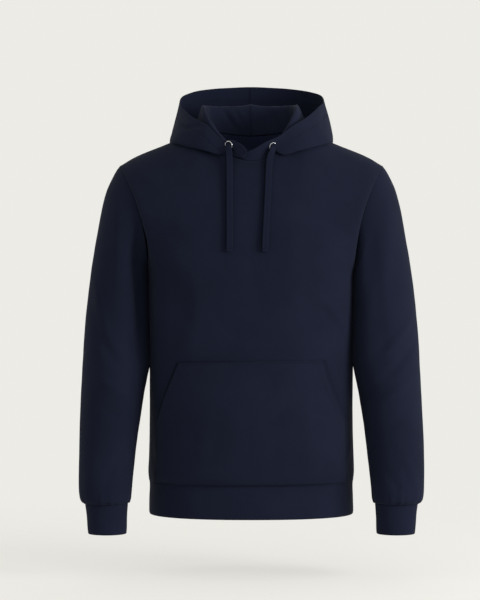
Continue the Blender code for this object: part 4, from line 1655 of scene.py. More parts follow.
@dataclass
class Body:
    """The front and the back, with the sewing round the neck, armholes and waist."""

    form: TrunkForm
    wardrobe: Wardrobe
    wall: float = 2.2 * MM
    columns: int = 130
    lower_rows: int = 78
    upper_rows: int = 70
    neck_rows: tuple[float, float] = (6.5 * MM, 12.5 * MM)
    waist_row: float = 8.0 * MM
    armhole_row: float = 5.5 * MM
    fold_grid: int = 60
    flat: tuple[float, float] = (0.56, 0.70)
    area: float = 0.292
    front_folds: tuple[Fold, ...] = (
        Fold(-2.6, 30, ((-0.150, -0.235), (-0.134, -0.300), (-0.142, -0.400))),
        Fold(1.6, 24, ((-0.105, -0.250), (-0.098, -0.320), (-0.110, -0.390))),
        Fold(1.8, 15, ((0.105, -0.290), (0.145, -0.330), (0.172, -0.372))),
        Fold(-1.4, 13, ((0.118, -0.322), (0.150, -0.358), (0.172, -0.400))),
        Fold(-1.6, 20, ((0.180, -0.215), (0.150, -0.185), (0.110, -0.172))),
        Fold(-1.8, 18, ((-0.182, -0.220), (-0.155, -0.190), (-0.118, -0.180))),
        Fold(1.4, 16, ((-0.180, -0.250), (-0.150, -0.225), (-0.112, -0.214))),
        Fold(1.2, 30, ((0.060, -0.120), (0.072, -0.200), (0.062, -0.285))),
        Fold(-1.1, 26, ((0.008, -0.130), (0.004, -0.230), (0.010, -0.330))),
        Fold(-1.0, 22, ((-0.060, -0.340), (-0.030, -0.372), (0.020, -0.388))),
        Fold(1.5, 16, ((0.178, -0.560), (0.171, -0.590), (0.150, -0.618))),
        Fold(-1.2, 12, ((-0.176, -0.545), (-0.174, -0.580), (-0.160, -0.616))),
    )
    back_folds: tuple[Fold, ...] = (
        Fold(2.2, 26, ((-0.165, -0.165), (-0.120, -0.205), (-0.060, -0.222))),
        Fold(2.0, 24, ((0.170, -0.175), (0.125, -0.212), (0.070, -0.228))),
        Fold(-2.2, 24, ((-0.172, -0.220), (-0.130, -0.252), (-0.085, -0.262))),
        Fold(-2.4, 26, ((0.172, -0.228), (0.128, -0.260), (0.075, -0.272))),
        Fold(-2.4, 20, ((-0.120, -0.455), (-0.050, -0.478), (0.030, -0.470))),
        Fold(2.0, 18, ((-0.140, -0.492), (-0.060, -0.512), (0.050, -0.500))),
        Fold(-2.0, 18, ((0.150, -0.500), (0.080, -0.535), (-0.010, -0.540))),
        Fold(1.6, 16, ((0.160, -0.545), (0.100, -0.572), (0.030, -0.580))),
        Fold(-1.5, 30, ((0.004, -0.110), (-0.004, -0.230), (0.006, -0.380))),
        Fold(1.3, 18, ((-0.150, -0.560), (-0.110, -0.590), (-0.060, -0.605))),
        Fold(1.6, 22, ((-0.090, -0.300), (-0.082, -0.360), (-0.095, -0.430))),
        Fold(1.4, 20, ((0.100, -0.310), (0.092, -0.380), (0.104, -0.450))),
    )

    def draw_folds(self, relief: Relief) -> None:
        """Draw the folds of both panels.

        Args:
            relief: The garment's folds.
        """
        steps = range(self.fold_grid + 1)
        for folds, facing in ((self.front_folds, 1.0), (self.back_folds, -1.0)):
            grid = [self.form.panel(facing, i / self.fold_grid, j / self.fold_grid)
                    for i in steps for j in steps]
            relief.draw(folds, lambda x, z: min(
                grid, key=lambda point: math.hypot(point.x - x, point.z - z)))

    def make(self, relief: Relief) -> list[Cloth]:
        """Args:
            relief: The garment's folds.

        Returns:
            The front and the back.
        """
        finishes = (self.wardrobe.face, self.wardrobe.body_inside)
        panels = []
        for name, facing in (("front", 1.0), ("back", -1.0)):
            cloth = Cloth(
                f"{name}_cloth", partial(self.form.panel, facing), facing, self.columns,
                ((0.0, 0.5, self.lower_rows), (0.5, 1.0, self.upper_rows)), self.wall,
                # every groove carries painted shade, the waist groove's the strongest
                grooves=(*(Groove("top", row) for row in self.neck_rows),
                         Groove("bottom", self.waist_row, 1.8 * MM, 1.4 * MM, 0.80)),
                gathers=(Gather("bottom", 26 * MM, 0.8 * MM, 22 * MM),),
                reference=0.42, soften=30)
            panels.append(cloth.tailor(relief, name, "fleece", finishes, flat=self.flat,
                                       held="hung", area=self.area))
        return panels

    def sew(self, front: Cloth, back: Cloth) -> None:
        """Sew the rows below the neck seam and above the waistband.

        Args:
            front: The front panel.
            back: The back panel.
        """
        stitching = Stitching("body_stitching")
        for cloth in (front, back):
            stitching.sew(*(cloth.line("top", row) for row in self.neck_rows))
            stitching.sew(cloth.line("bottom", self.waist_row))
            stitching.sew(*(cloth.line(edge, self.armhole_row, (0.5, 1.0))
                            for edge in ("start", "end")))
        stitching.make(self.wardrobe.thread)


@dataclass
class Waistband:
    """The knitted band round the hem, folded at its lower edge."""

    form: TrunkForm
    wardrobe: Wardrobe
    wall: float = 3.0 * MM
    columns: int = 260
    rows: int = 16
    flat: tuple[float, float] = (0.98, 0.056)

    def surface(self, u: float, v: float) -> Vector:
        """The outer surface, from the hem up, once round from the centre back."""
        z = mix(self.form.hem_z, self.form.waist_seam_z - self.form.seam_gap, v)
        return self.form.level((u * 2 + 1) * math.pi, z, "band")

    def make(self, relief: Relief) -> None:
        """Args:
            relief: The garment's folds.
        """
        cloth = Cloth("waistband_cloth", self.surface, 1.0, self.columns, ((0.0, 1.0, self.rows),),
                      self.wall, Edges(Edge.NONE, Edge.NONE, Edge.RIM, Edge.SEAM),
                      gathers=(Gather("top", 21 * MM, 0.35 * MM, 20 * MM),))
        cloth.tailor(relief, "waistband", "rib", (self.wardrobe.rib, self.wardrobe.rib),
                     flat=self.flat, held="stretched")


@dataclass
class Pocket:
    """The kangaroo pocket: open at its two slanted sides, sewn down along the rest."""

    form: TrunkForm
    wardrobe: Wardrobe
    wall: float = 2.2 * MM
    gap: float = 0.45 * MM
    solid_wall: float = 1.8 * MM
    top_z: float = -0.417
    tilt: float = 2.4 * MM
    top_half: float = 0.129
    slant_z: float = -0.527
    slant_half: float = 0.1665
    slant_power: tuple[float, float] = (1.12, 1.32)
    bottom_half: float = 0.1695
    bottom_z: float = -0.630
    fullness: float = 0.0115
    gape: tuple[float, float] = (0.0075, 0.0045)
    bulge_power: float = 0.6
    gape_power: float = 0.7
    side_power: int = 4
    columns: int = 110
    rows: int = 76
    hem_row: float = 19.0 * MM
    top_row: float = 3.5 * MM
    side_rows: tuple[float, float] = (2.0 * MM, 7.5 * MM)
    slant_span: float = 0.495
    sewn_span: tuple[float, float] = (0.03, 0.96)
    flat: tuple[float, float] = (0.40, 0.216)
    area: float = 0.078
    folds: tuple[Fold, ...] = (
        Fold(-0.5, 18, ((-0.066, -0.462), (-0.060, -0.530), (-0.070, -0.600))),
        Fold(0.6, 20, ((-0.040, -0.460), (-0.030, -0.540), (-0.042, -0.605))),
        Fold(-0.6, 16, ((-0.014, -0.500), (-0.008, -0.560), (-0.020, -0.610))),
        Fold(-0.5, 20, ((0.040, -0.490), (0.046, -0.550), (0.034, -0.600))),
        Fold(0.9, 24, ((0.092, -0.480), (0.100, -0.530), (0.090, -0.600))),
        Fold(-0.8, 20, ((-0.110, -0.510), (-0.100, -0.560), (-0.114, -0.612))),
    )

    def half_width(self, z: float, left: bool) -> float:
        """The pocket's width from its middle.

        Args:
            z: The height.
            left: Whether on the wearer's left.

        Returns:
            The width.
        """
        if z > self.slant_z:
            share = clamp((self.top_z - z) / (self.top_z - self.slant_z))
            return mix(self.top_half, self.slant_half, share ** self.slant_power[left])
        share = (self.slant_z - z) / (self.slant_z - self.bottom_z)
        return mix(self.slant_half, self.bottom_half, share)

    def stand_off(self, across: float, z: float) -> float:
        """How far the pocket's inside stands off the front.

        Args:
            across: The place from side to side, from -1 to 1.
            z: The height.

        Returns:
            The distance.
        """
        down = (self.top_z - z) / (self.top_z - self.bottom_z)
        hand_part = (self.top_z - z) / (self.top_z - self.slant_z)
        middle = self.fullness * math.sin(math.pi * clamp(down)) ** self.bulge_power
        opening = self.gape[across > 0] * math.sin(math.pi * clamp(hand_part)) ** self.gape_power
        return mix(middle, min(opening, middle), abs(across) ** self.side_power)

    def surface(self, u: float, v: float) -> Vector:
        """The outer surface, from side to side and from the foot to the top.

        Args:
            u: The share across, from the wearer's right.
            v: The share up.

        Returns:
            The point.
        """
        across = 2 * u - 1
        z = mix(self.bottom_z, self.top_z + self.tilt * across, v)
        x = self.half_width(z, across > 0) * across
        off = self.gap + self.solid_wall + self.stand_off(across, z)
        return self.form.front_at(x, z) + self.form.front_direction(x, z) * off

    def draw_folds(self, relief: Relief) -> None:
        """Draw the soft upright folds of the pocket."""
        relief.draw(self.folds, lambda x, z: self.surface(
            x / self.half_width(z, x > 0) / 2 + 0.5,
            (z - self.bottom_z) / (self.top_z - self.bottom_z)))

    def make(self, relief: Relief) -> None:
        """Args:
            relief: The garment's folds.
        """
        rim = Edges(*[Edge.RIM] * 4)
        # the grooves beside the hand openings carry painted shade, standing in for the shadowed
        # lines of their turned hems
        cloth = Cloth("pocket_cloth", self.surface, 1.0, self.columns, ((0.0, 1.0, self.rows),),
                      self.wall, rim,
                      (Groove("top", self.top_row, 0.3 * MM),
                       Groove("start", 1.6 * MM, 0.3 * MM, 3.0 * MM, 1.0),
                       Groove("end", 0.9 * MM, 0.3 * MM, 1.6 * MM, 0.60),
                       Groove("end", self.hem_row * 0.30, 0.3 * MM, 1.4 * MM, 0.35)))
        cloth.tailor(relief, "pocket", "fleece", (self.wardrobe.face, self.wardrobe.inside),
                     flat=self.flat, held="hung", area=self.area, rests_on=["front_cloth"])
        stitching = Stitching("pocket_stitching")
        stitching.sew(cloth.line("top", self.top_row))
        foot, head = self.sewn_span
        for edge in ("start", "end"):
            stitching.sew(cloth.line(edge, self.hem_row, (self.slant_span, head)),
                          *(cloth.line(edge, row, (foot, self.slant_span))
                            for row in self.side_rows))
        stitching.make(self.wardrobe.thread)


@dataclass
class Sleeve:
    """A sleeve and its cuff."""

    side: Side
    form: ArmForm
    wardrobe: Wardrobe
    wall: float = 2.2 * MM
    cuff_wall: float = 3.0 * MM
    columns: int = 108
    rows: int = 156
    cuff_columns: int = 100
    cuff_rows: int = 18
    cuff_row: float = 6.5 * MM
    flat: tuple[float, float] = (0.40, 0.60)
    area: float = 0.176
    cuff_flat: tuple[float, float] = (0.175, 0.057)
    armhole_gap: float = 0.06 * MM
    press: float = 4.5 * MM
    press_start: float = 3.0
    press_end: float = 9.6
    press_fade: float = 1.6
    squareness: tuple[float, float] = (0.16, -0.07)

    FOLDS = {
        Side.LEFT: (
            Fold(3.0, 15, ((25, 7.3), (70, 7.9), (125, 8.7))),
            Fold(-3.4, 15, ((20, 8.0), (70, 8.7), (130, 9.5))),
            Fold(2.2, 14, ((40, 9.1), (90, 9.7), (150, 10.2))),
            Fold(-1.8, 14, ((60, 10.2), (100, 10.7), (150, 10.9))),
            Fold(-2.0, 20, ((75, 2.4), (110, 4.2), (128, 6.4))),
            Fold(1.6, 20, ((45, 2.6), (70, 4.6), (88, 6.4))),
            Fold(1.8, 16, ((80, 11.6), (60, 12.5), (50, 13.3))),
            Fold(-1.6, 14, ((120, 12.2), (100, 13.0), (80, 13.8))),
            Fold(3.0, 17, ((190, 8.4), (235, 8.0), (290, 7.6))),
            Fold(-3.2, 16, ((185, 9.2), (235, 8.9), (300, 8.6))),
            Fold(2.4, 16, ((190, 10.0), (240, 9.8), (300, 9.6))),
            Fold(-2.2, 20, ((235, 2.2), (250, 4.0), (240, 6.0))),
            Fold(1.8, 18, ((300, 3.0), (285, 5.0), (290, 6.6))),
            Fold(-1.8, 15, ((250, 11.2), (285, 12.0), (300, 13.0))),
        ),
        Side.RIGHT: (
            Fold(2.4, 18, ((30, 6.2), (60, 7.2), (95, 8.4))),
            Fold(-2.8, 17, ((45, 7.6), (85, 8.4), (135, 9.2))),
            Fold(2.2, 15, ((50, 9.0), (95, 9.5), (150, 9.9))),
            Fold(-1.8, 14, ((70, 10.0), (110, 10.4), (155, 10.6))),
            Fold(-12.0, 25, ((92, 1.2), (114, 3.2), (134, 5.2), (150, 8.6))),
            Fold(1.8, 20, ((44, 2.0), (68, 4.2), (90, 6.6))),
            Fold(1.6, 16, ((70, 11.8), (55, 12.6), (48, 13.6))),
            Fold(-1.5, 14, ((115, 11.8), (98, 12.8), (84, 13.6))),
            Fold(2.8, 17, ((188, 8.2), (230, 7.7), (295, 7.2))),
            Fold(-3.2, 16, ((185, 8.9), (235, 8.5), (300, 8.1))),
            Fold(2.6, 16, ((190, 9.8), (238, 9.4), (296, 9.1))),
            Fold(-2.0, 20, ((240, 2.6), (252, 4.4), (244, 6.4))),
            Fold(1.6, 18, ((298, 2.8), (288, 4.8), (292, 6.2))),
            Fold(-1.7, 15, ((248, 11.4), (282, 12.3), (304, 13.2))),
        ),
    }

    def _mirrored(self, point: Vector) -> Vector:
        """Put a point of the left sleeve on this side."""
        return Vector((point.x * self.side.hand, point.y, point.z))

    def surface(self, u: float, v: float) -> Vector:
        """A point of the outer surface.

        Args:
            u: The share round, from the inner line.
            v: The share down, from the armhole.

        Returns:
            The point.
        """
        at = v * (len(self.form.sections) - 1)
        turn = (u * 2 + 1) * math.pi
        press = clamp((self.press_end - at) / self.press_fade) * clamp(at / self.press_start)
        point = self.form.ring(at, turn)
        inward, forward = clamp(-math.cos(turn)), clamp(math.sin(turn))
        square = self.squareness[self.side is Side.RIGHT] * press * (2 * inward * forward) ** 2
        centre = (self.form.ring(at, 0.0) + self.form.ring(at, math.pi)) / 2
        point += (point - centre) * square
        point.x -= self.press * press * inward ** 3
        section = self.form.sections[0]
        axis = Vector((section.outer_z - section.inner_z, 0, section.inner_x - section.outer_x))
        point += axis.normalized() * self.armhole_gap * clamp(1 - at)
        point.z = max(point.z, self.form.cuff_seam_z + self.form.seam_gap)
        return self._mirrored(point)

    def cuff_surface(self, u: float, v: float) -> Vector:
        """A point of the cuff's outer surface.

        Args:
            u: The share round, from the inner line.
            v: The share down, from the seam.

        Returns:
            The point.
        """
        point = self.form.cuff_ring(v * (len(self.form.cuff) - 1), (u * 2 + 1) * math.pi)
        point.z = min(point.z, self.form.cuff_seam_z - self.form.seam_gap)
        return self._mirrored(point)

    def draw_folds(self, relief: Relief) -> None:
        """Draw this sleeve's folds, by their turn in degrees and their place down the sleeve."""
        relief.draw(self.FOLDS[self.side], lambda turn, at: self._mirrored(
            self.form.ring(at, math.radians(turn))))

    def make(self, relief: Relief) -> None:
        """Build the sleeve, the cuff and the row of stitches over their seam.

        Args:
            relief: The garment's folds.
        """
        name = self.side.value
        around = Edges(Edge.NONE, Edge.NONE, Edge.SEAM, Edge.SEAM)
        sleeve = Cloth(f"sleeve_{name}_cloth", self.surface, self.side.hand, self.columns,
                       ((0.0, 1.0, self.rows),), self.wall, around,
                       grooves=(Groove("top", self.cuff_row, 0.5 * MM),),
                       gathers=(Gather("top", 13 * MM, 1.3 * MM, 20 * MM),),
                       reference=0.3, soften=6)
        sleeve.tailor(relief, f"sleeve_{name}", "fleece",
                      (self.wardrobe.face, self.wardrobe.inside),
                      flat=self.flat, held="hung", area=self.area)
        cuff = Cloth(f"cuff_{name}_cloth", self.cuff_surface, self.side.hand, self.cuff_columns,
                     ((0.0, 1.0, self.cuff_rows),), self.cuff_wall,
                     Edges(Edge.NONE, Edge.NONE, Edge.SEAM, Edge.RIM))
        cuff.tailor(relief, f"cuff_{name}", "rib", (self.wardrobe.rib, self.wardrobe.rib),
                    flat=self.cuff_flat, held="stretched")
        stitching = Stitching(f"sleeve_{name}_stitching")
        stitching.sew(sleeve.line("top", self.cuff_row))
        stitching.make(self.wardrobe.thread)


@dataclass
class Hood:
    """The two halves of the hood, with the row of stitches of the drawcord's tunnel."""

    form: HoodForm
    wardrobe: Wardrobe
    wall: float = 2.4 * MM
    columns: int = 120
    rows: int = 112
    tunnel: float = 22.0 * MM
    tunnel_start: float = 0.16
    flat: tuple[float, float] = (0.37, 0.30)
    area: float = 0.090

    FOLDS = {
        Side.LEFT: (
            Fold(1.6, 12, ((140, 0.12), (150, 0.22), (164, 0.28))),
            Fold(-1.6, 12, ((120, 0.66), (138, 0.72), (160, 0.74))),
            Fold(2.0, 14, ((112, 0.78), (135, 0.82), (165, 0.80))),
            Fold(-1.4, 12, ((70, 0.80), (88, 0.86), (110, 0.90))),
        ),
        Side.RIGHT: (
            Fold(-2.0, 9, ((150, 0.30), (158, 0.20), (170, 0.12))),
            Fold(1.8, 9, ((143, 0.28), (150, 0.20), (160, 0.11))),
            Fold(-1.6, 8, ((163, 0.30), (168, 0.22), (175, 0.15))),
            Fold(-1.6, 12, ((118, 0.70), (136, 0.75), (160, 0.72))),
            Fold(1.9, 14, ((108, 0.80), (132, 0.84), (168, 0.82))),
            Fold(-1.6, 10, ((52, 0.90), (66, 0.84), (84, 0.80))),
        ),
    }

    def draw_folds(self, relief: Relief) -> None:
        """Draw the folds, by their angle round the neck and their share up the cloth.

        Args:
            relief: The garment's folds.
        """
        for side, folds in self.FOLDS.items():
            edge = self.form.front_edge[side is Side.RIGHT]
            relief.draw(folds, lambda angle, v: self.form.surface(
                side, ((angle - edge) / (self.form.back - edge)) ** (1 / self.form.column_power),
                v))

    def make(self, relief: Relief) -> None:
        """Args:
            relief: The garment's folds.
        """
        stitching = Stitching("hood_stitching")
        for side in Side:
            name = side.value
            cloth = Cloth(f"hood_{name}_cloth", partial(self.form.surface, side), side.hand,
                          self.columns, ((0.0, 1.0, self.rows),), self.wall,
                          Edges(Edge.RIM, Edge.SEAM, Edge.SEAM, Edge.RIM),
                          # both grooves carry painted shade
                          grooves=(Groove("top", self.tunnel, 0.35 * MM),
                                   Groove("end", 0.0, 0.7 * MM, 1.8 * MM, 0.22)),
                          reference=0.85, soften=4)
            cloth.tailor(relief, f"hood_{name}", "fleece",
                         (self.wardrobe.face, self.wardrobe.inside),
                         flat=self.flat, held="folded", area=self.area)
            stitching.sew(cloth.line("top", self.tunnel, (self.tunnel_start, 1.0)))
        stitching.make(self.wardrobe.thread)


@dataclass
class Drawcord:
    """One free end of the flat drawcord, from its eyelet down to its stitched end."""

    side: Side
    wardrobe: Wardrobe
    steps: int = 12
    sides: int = 28
    squareness: float = 3.2
    fullness: float = 1.2
    width: float = 13.0 * MM
    length: float = 0.192
    tack_height: float = 5.2 * MM
    tack_slant: float = 0.22
    lift: float = 1.6 * MM
    lift_end: float = 5.0
    stride: float = 0.05
    ridge: float = 0.07
    ridges: float = 1.5
    tack_depth: float = 0.42
    tack_reach: float = 1.0 * MM
    tack_half: float = 0.86
    tack_stitches: int = 9
    tack_rise: float = 0.60

    ROUTES = {
        Side.LEFT: (
            CordPoint(0.0380, -0.0928, -0.0414, 0.0044, 0.0026, 0.49),
            CordPoint(0.0384, -0.0962, -0.0432, 0.0072, 0.0028, 0.47),
            CordPoint(0.0368, -0.0976, -0.0475, 0.0110, 0.0030, 0.36),
            CordPoint(0.0340, -0.0969, -0.0535, 0.0128, 0.0032, 0.20),
            CordPoint(0.0318, -0.0965, -0.0610, 0.0130, 0.0032, 0.10),
            CordPoint(0.0304, -0.0998, -0.0720, 0.0130, 0.0032, 0.06),
            CordPoint(0.0293, -0.1060, -0.0900, 0.0130, 0.0032, 0.05),
            CordPoint(0.0281, -0.1132, -0.1180, 0.0130, 0.0032, 0.04),
            CordPoint(0.0266, -0.1187, -0.1480, 0.0130, 0.0032, 0.03),
            CordPoint(0.0249, -0.1222, -0.1790, 0.0130, 0.0032, 0.02),
            CordPoint(0.0236, -0.1243, -0.2050, 0.0130, 0.0032, 0.01),
            CordPoint(0.0230, -0.1249, -0.2165, 0.0128, 0.0032, 0.01),
            CordPoint(0.0228, -0.1250, -0.2210, 0.0118, 0.0026, 0.01),
            CordPoint(0.0226, -0.1252, -0.2260, 0.0136, 0.0034, 0.01),
        ),
        Side.RIGHT: (
            CordPoint(-0.0402, -0.0948, -0.0389, 0.0044, 0.0026, -0.48),
            CordPoint(-0.0408, -0.0983, -0.0408, 0.0072, 0.0028, -0.46),
            CordPoint(-0.0406, -0.0998, -0.0452, 0.0110, 0.0030, -0.36),
            CordPoint(-0.0400, -0.0992, -0.0515, 0.0128, 0.0032, -0.22),
            CordPoint(-0.0395, -0.0980, -0.0600, 0.0130, 0.0032, -0.12),
            CordPoint(-0.0391, -0.0996, -0.0720, 0.0130, 0.0032, -0.08),
            CordPoint(-0.0388, -0.1054, -0.0900, 0.0130, 0.0032, -0.06),
            CordPoint(-0.0387, -0.1128, -0.1180, 0.0130, 0.0032, -0.05),
            CordPoint(-0.0386, -0.1184, -0.1480, 0.0130, 0.0032, -0.04),
            CordPoint(-0.0385, -0.1220, -0.1790, 0.0130, 0.0032, -0.03),
            CordPoint(-0.0386, -0.1241, -0.2050, 0.0130, 0.0032, -0.02),
            CordPoint(-0.0388, -0.1248, -0.2165, 0.0128, 0.0032, -0.02),
            CordPoint(-0.0390, -0.1249, -0.2210, 0.0118, 0.0026, -0.02),
            CordPoint(-0.0392, -0.1251, -0.2260, 0.0136, 0.0034, -0.02),
        ),
    }

    def _frame(self, table: Table, at: float) -> tuple[Vector, Vector, Vector, CordPoint]:
        """Work out the braid at a place.

        Args:
            table: The curves through the route's points.
            at: The point's number; a fraction lies between two.

        Returns:
            The middle, the directions across and through, and the sizes.
        """
        here = table.at(at)
        before, after = (Vector(table.at(at + shift)[:3])
                         for shift in (-self.stride, self.stride))
        along = (after - before).normalized()
        across = Vector((1, here.slope, 0))
        across = (across - along * across.dot(along)).normalized()
        middle = Vector((here.x, here.y - self.lift * clamp(at / self.lift_end), here.z))
        return middle, across, across.cross(along), here

    def make(self) -> None:
        route = self.ROUTES[self.side]
        table = Table(route)
        count = (len(route) - 1) * self.steps
        bm = bmesh.new()
        across_layer = bm.verts.layers.float.new("across")
        along_layer = bm.verts.layers.float.new("along")
        path = [self._frame(table, index / self.steps)[0] for index in range(count + 1)]
        travelled = [0.0]
        for before, after in zip(path, path[1:]):
            travelled.append(travelled[-1] + (after - before).length)
        rings = []
        for index in range(count + 1):
            middle, across, through, here = self._frame(table, index / self.steps)
            rest = travelled[-1] - travelled[index]
            ring = []
            for number in range(self.sides):
                turn = math.tau * (number + 0.5) / self.sides
                wide = signed_power(math.cos(turn), 2 / self.squareness)
                thick = signed_power(math.sin(turn), 2 / self.squareness)
                offset = wide * here.width / 2
                height = here.thickness / 2 * self.fullness * self._swell(wide, rest, offset)
                vert = bm.verts.new(middle + across * offset + through * thick * height)
                vert[across_layer], vert[along_layer] = offset, travelled[index]
                ring.append(vert)
            rings.append(ring)
        edges = [[bm.edges.new((a, b)) for a, b in zip(ring, ring[1:] + ring[:1])]
                 for ring in rings]
        for lower, upper in zip(edges, edges[1:]):
            bmesh.ops.bridge_loops(bm, edges=lower + upper)
        for ends in (edges[0], edges[-1]):
            bmesh.ops.contextual_create(bm, geom=ends)
        bmesh.ops.recalc_face_normals(bm, faces=bm.faces[:])
        uv = bm.loops.layers.uv.new("cloth")
        for face in bm.faces:
            for loop in face.loops:
                loop[uv].uv = (loop.vert[across_layer], loop.vert[along_layer])
        piece = finish_mesh(bm, f"drawcord_{self.side.value}_braid", (self.wardrobe.braid,))
        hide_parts(f"drawcord_{self.side.value}")
        tack = self._tack(table, travelled)

    def _swell(self, wide: float, rest: float, offset: float) -> float:
        """How thick the braid is, as a share: its soft ridges and the tack's slanted groove.

        Args:
            wide: The place across, from -1 to 1.
            rest: How far it is to the end.
            offset: The place across in metres.

        Returns:
            The share.
        """
        ridges = 1 + self.ridge * math.cos(math.tau * self.ridges * wide)
        away = abs(rest - self.tack_height - offset * self.tack_slant)
        return ridges * (1 - self.tack_depth * math.exp(-(away / self.tack_reach) ** 2))

    def _tack(self, table: Table, travelled: list[float]) -> bpy.types.Object:
        """Sew the slanted row of stitches across the end.

        Args:
            table: The curves through the route's points.
            travelled: How far each ring is from the eyelet.

        Returns:
            The piece.
        """
        stitching = Stitching(f"drawcord_{self.side.value}_tack", pitch=1.6 * MM,
                              length=1.5 * MM, radius=0.28 * MM)
        row = []
        for share in np.linspace(-self.tack_half, self.tack_half, self.tack_stitches):
            offset = share * self.width / 2
            rest = self.tack_height + offset * self.tack_slant
            at = np.interp(travelled[-1] - rest, travelled,
                           np.arange(len(travelled)) / self.steps)
            middle, across, through, here = self._frame(table, float(at))
            facing = through if through.y < 0 else -through
            lift = here.thickness / 2 * self.fullness * self.tack_rise
            row.append((middle + across * offset + facing * lift, facing))
        stitching.sew(row)
        piece = stitching.make(self.wardrobe.thread)
        return piece


@dataclass
class Eyelet:
    """A rolled metal ring, set in the hood's front where a drawcord comes out."""

    side: Side
    wardrobe: Wardrobe
    outer: float = 7.3 * MM
    hole: float = 5.8 * MM
    height: float = 1.2 * MM
    barrel: float = 2.6 * MM
    steps: int = 40
    crown_steps: int = 10
    crease: float = 50.0
    facing: tuple[tuple[float, float, float], ...] = (
        (0.428, -0.872, -0.236), (-0.424, -0.876, -0.229))

    def make(self) -> None:
        """Spin the ring's section round its axis and set it in place."""
        node = f"eyelet_{self.side.value}"
        low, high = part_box(node)
        direction = Vector(self.facing[self.side is Side.RIGHT]).normalized()
        foot = (low + high) / 2 - direction * self.height / 2
        crown = (self.outer + self.hole) / 2
        half = (self.outer - self.hole) / 2
        profile = [(crown + half * math.cos(turn), self.height * max(math.sin(turn), 0) ** 0.8)
                   for turn in (math.pi * step / self.crown_steps
                                for step in range(self.crown_steps + 1))]
        # the barrel goes down through the cloth, and the crown is hollow underneath
        profile += [(self.hole, -self.barrel), (self.hole + 0.5 * MM, -self.barrel),
                    (self.hole + 0.6 * MM, 0.2 * MM), (self.outer - 0.8 * MM, 0.1 * MM)]
        bm = bmesh.new()
        verts = [bm.verts.new((radius, 0, height)) for radius, height in profile]
        edges = [bm.edges.new(pair) for pair in zip(verts, verts[1:] + verts[:1])]
        bmesh.ops.spin(bm, geom=verts + edges, cent=(0, 0, 0), axis=(0, 0, 1),
                       angle=math.tau, steps=self.steps, use_merge=True)
        bmesh.ops.remove_doubles(bm, verts=bm.verts, dist=WELD)
        bmesh.ops.recalc_face_normals(bm, faces=bm.faces[:])
        turn = direction.to_track_quat("Z", "Y").to_matrix().to_4x4()
        bmesh.ops.transform(bm, matrix=Matrix.Translation(foot) @ turn, verts=bm.verts)
        piece = finish_mesh(bm, f"{node}_ring", (self.wardrobe.nickel,))
        piece.data.set_sharp_from_angle(angle=math.radians(self.crease))
        smooth = piece.modifiers.new("round", "SUBSURF")
        smooth.levels = smooth.render_levels = 1
        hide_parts(node)


# ---- The studio ----

@dataclass(frozen=True)
class Lamp:
    """A soft square lamp that looks at the garment."""

    name: str
    place: tuple[float, float, float]
    size: float
    power: float
    colour: Colour = (1.0, 1.0, 1.0)

    def make(self, target: Vector) -> None:
        """Hang the lamp and turn it towards a point.

        Args:
            target: Where it looks.
        """
        data = bpy.data.lights.new(self.name, "AREA")
        data.energy, data.size, data.color = self.power, self.size, self.colour
        lamp = bpy.data.objects.new(self.name, data)
        bpy.context.scene.collection.objects.link(lamp)
        lamp.location = self.place
        lamp.rotation_euler = (target - lamp.location).to_track_quat("-Z", "Y").to_euler()


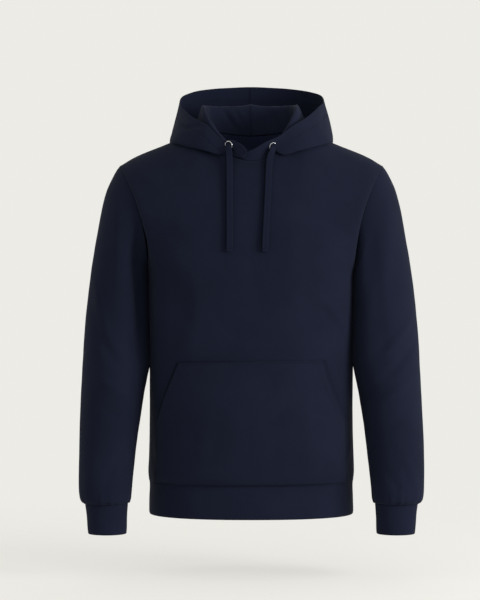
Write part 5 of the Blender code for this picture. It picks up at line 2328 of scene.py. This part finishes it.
@dataclass
class Studio:
    """The camera, the lamps, the pale surroundings and the floor with its soft shadow."""

    camera_place: tuple[float, float, float] = (-0.0202, -3.4, -0.31)
    focal_pixels: float = 1888.9
    frame_height: float = 600.0
    sensor: float = 36.0
    floor_z: float = -0.80
    floor_radius: float = 1.5
    floor_sides: int = 96
    fade: tuple[float, float] = (0.35, 0.97)
    aim: tuple[float, float, float] = (0.0, 0.0, -0.3)
    backdrop: Colour = (0.842, 0.832, 0.793)
    glow: float = 0.68
    lamps: tuple[Lamp, ...] = (Lamp("key", (2.2, -1.35, 0.15), 1.3, 64.0),)

    def make_camera(self) -> None:
        """Set up the camera, level and straight on."""
        data = bpy.data.cameras.new("camera")
        data.sensor_fit = "VERTICAL"
        data.sensor_height = self.sensor
        data.lens = self.focal_pixels / self.frame_height * self.sensor
        camera = bpy.data.objects.new("camera", data)
        bpy.context.scene.collection.objects.link(camera)
        camera.location = self.camera_place
        camera.rotation_euler = (math.pi / 2, 0, 0)
        bpy.context.scene.camera = camera

    def make(self) -> None:
        """Light the scene and lay the floor."""
        bpy.context.scene.view_settings.view_transform = "Standard"
        world = bpy.data.worlds.new("surroundings")
        world.use_nodes = True
        world.node_tree.nodes["Background"].inputs["Color"].default_value = (*self.backdrop, 1)
        bpy.context.scene.world = world
        for lamp in self.lamps:
            lamp.make(Vector(self.aim))
        bm = bmesh.new()
        bmesh.ops.create_circle(bm, cap_ends=True, segments=self.floor_sides,
                                radius=self.floor_radius)
        bmesh.ops.translate(bm, vec=(0, 0, self.floor_z), verts=bm.verts)
        mesh = bpy.data.meshes.new("floor")
        bm.to_mesh(mesh)
        bm.free()
        mesh.materials.append(self._floor_finish())
        floor = bpy.data.objects.new("floor", mesh)
        bpy.context.scene.collection.objects.link(floor)

    def _floor_finish(self) -> Material:
        """A matt floor that glows a little and fades into the surroundings.

        Returns:
            The material.
        """
        nodes = Nodes("pale_floor")
        coordinates = nodes.add("ShaderNodeTexCoord")
        parts = nodes.add("ShaderNodeSeparateXYZ", {}, {0: coordinates.out("Object")})
        x, y = parts.value("X"), parts.value("Y")
        radius = (x * x + y * y) ** 0.5
        matt = nodes.add("ShaderNodeBsdfDiffuse", {}, {"Color": (*self.backdrop, 1)})
        light = nodes.add("ShaderNodeEmission", {}, {"Color": (*self.backdrop, 1)})
        lit = nodes.add("ShaderNodeMixShader", {}, {
            0: self.glow, 1: matt.out(), 2: light.out()})
        clear = nodes.add("ShaderNodeBsdfTransparent")
        faded = nodes.add("ShaderNodeMixShader", {}, {
            0: radius.between(*(share * self.floor_radius for share in self.fade)),
            1: lit.out(), 2: clear.out()})
        nodes.feed(nodes.tree.nodes["Material Output"].inputs["Surface"], faded.out())
        nodes.tree.nodes.remove(nodes.shader)
        return nodes.material


def main() -> None:
    """Build the garment and its studio."""
    logging.basicConfig(level=logging.INFO, format="%(message)s")
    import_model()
    studio = Studio()
    studio.make_camera()
    wardrobe = Wardrobe()
    for side in Side:
        Drawcord(side, wardrobe).make()
    arm, neck = ArmForm(), NeckLine()
    trunk = TrunkForm(arm, neck)
    body = Body(trunk, wardrobe)
    pocket = Pocket(trunk, wardrobe)
    hood = Hood(HoodForm(neck), wardrobe)
    sleeves = [Sleeve(side, arm, wardrobe) for side in Side]
    relief = Relief()
    for part in (body, pocket, hood, *sleeves):
        part.draw_folds(relief)
    front, back = body.make(relief)
    body.sew(front, back)
    Waistband(trunk, wardrobe).make(relief)
    pocket.make(relief)
    hood.make(relief)
    for sleeve in sleeves:
        sleeve.make(relief)
    for side in Side:
        Eyelet(side, wardrobe).make()
    studio.make()


if __name__ == "__main__":
    main()
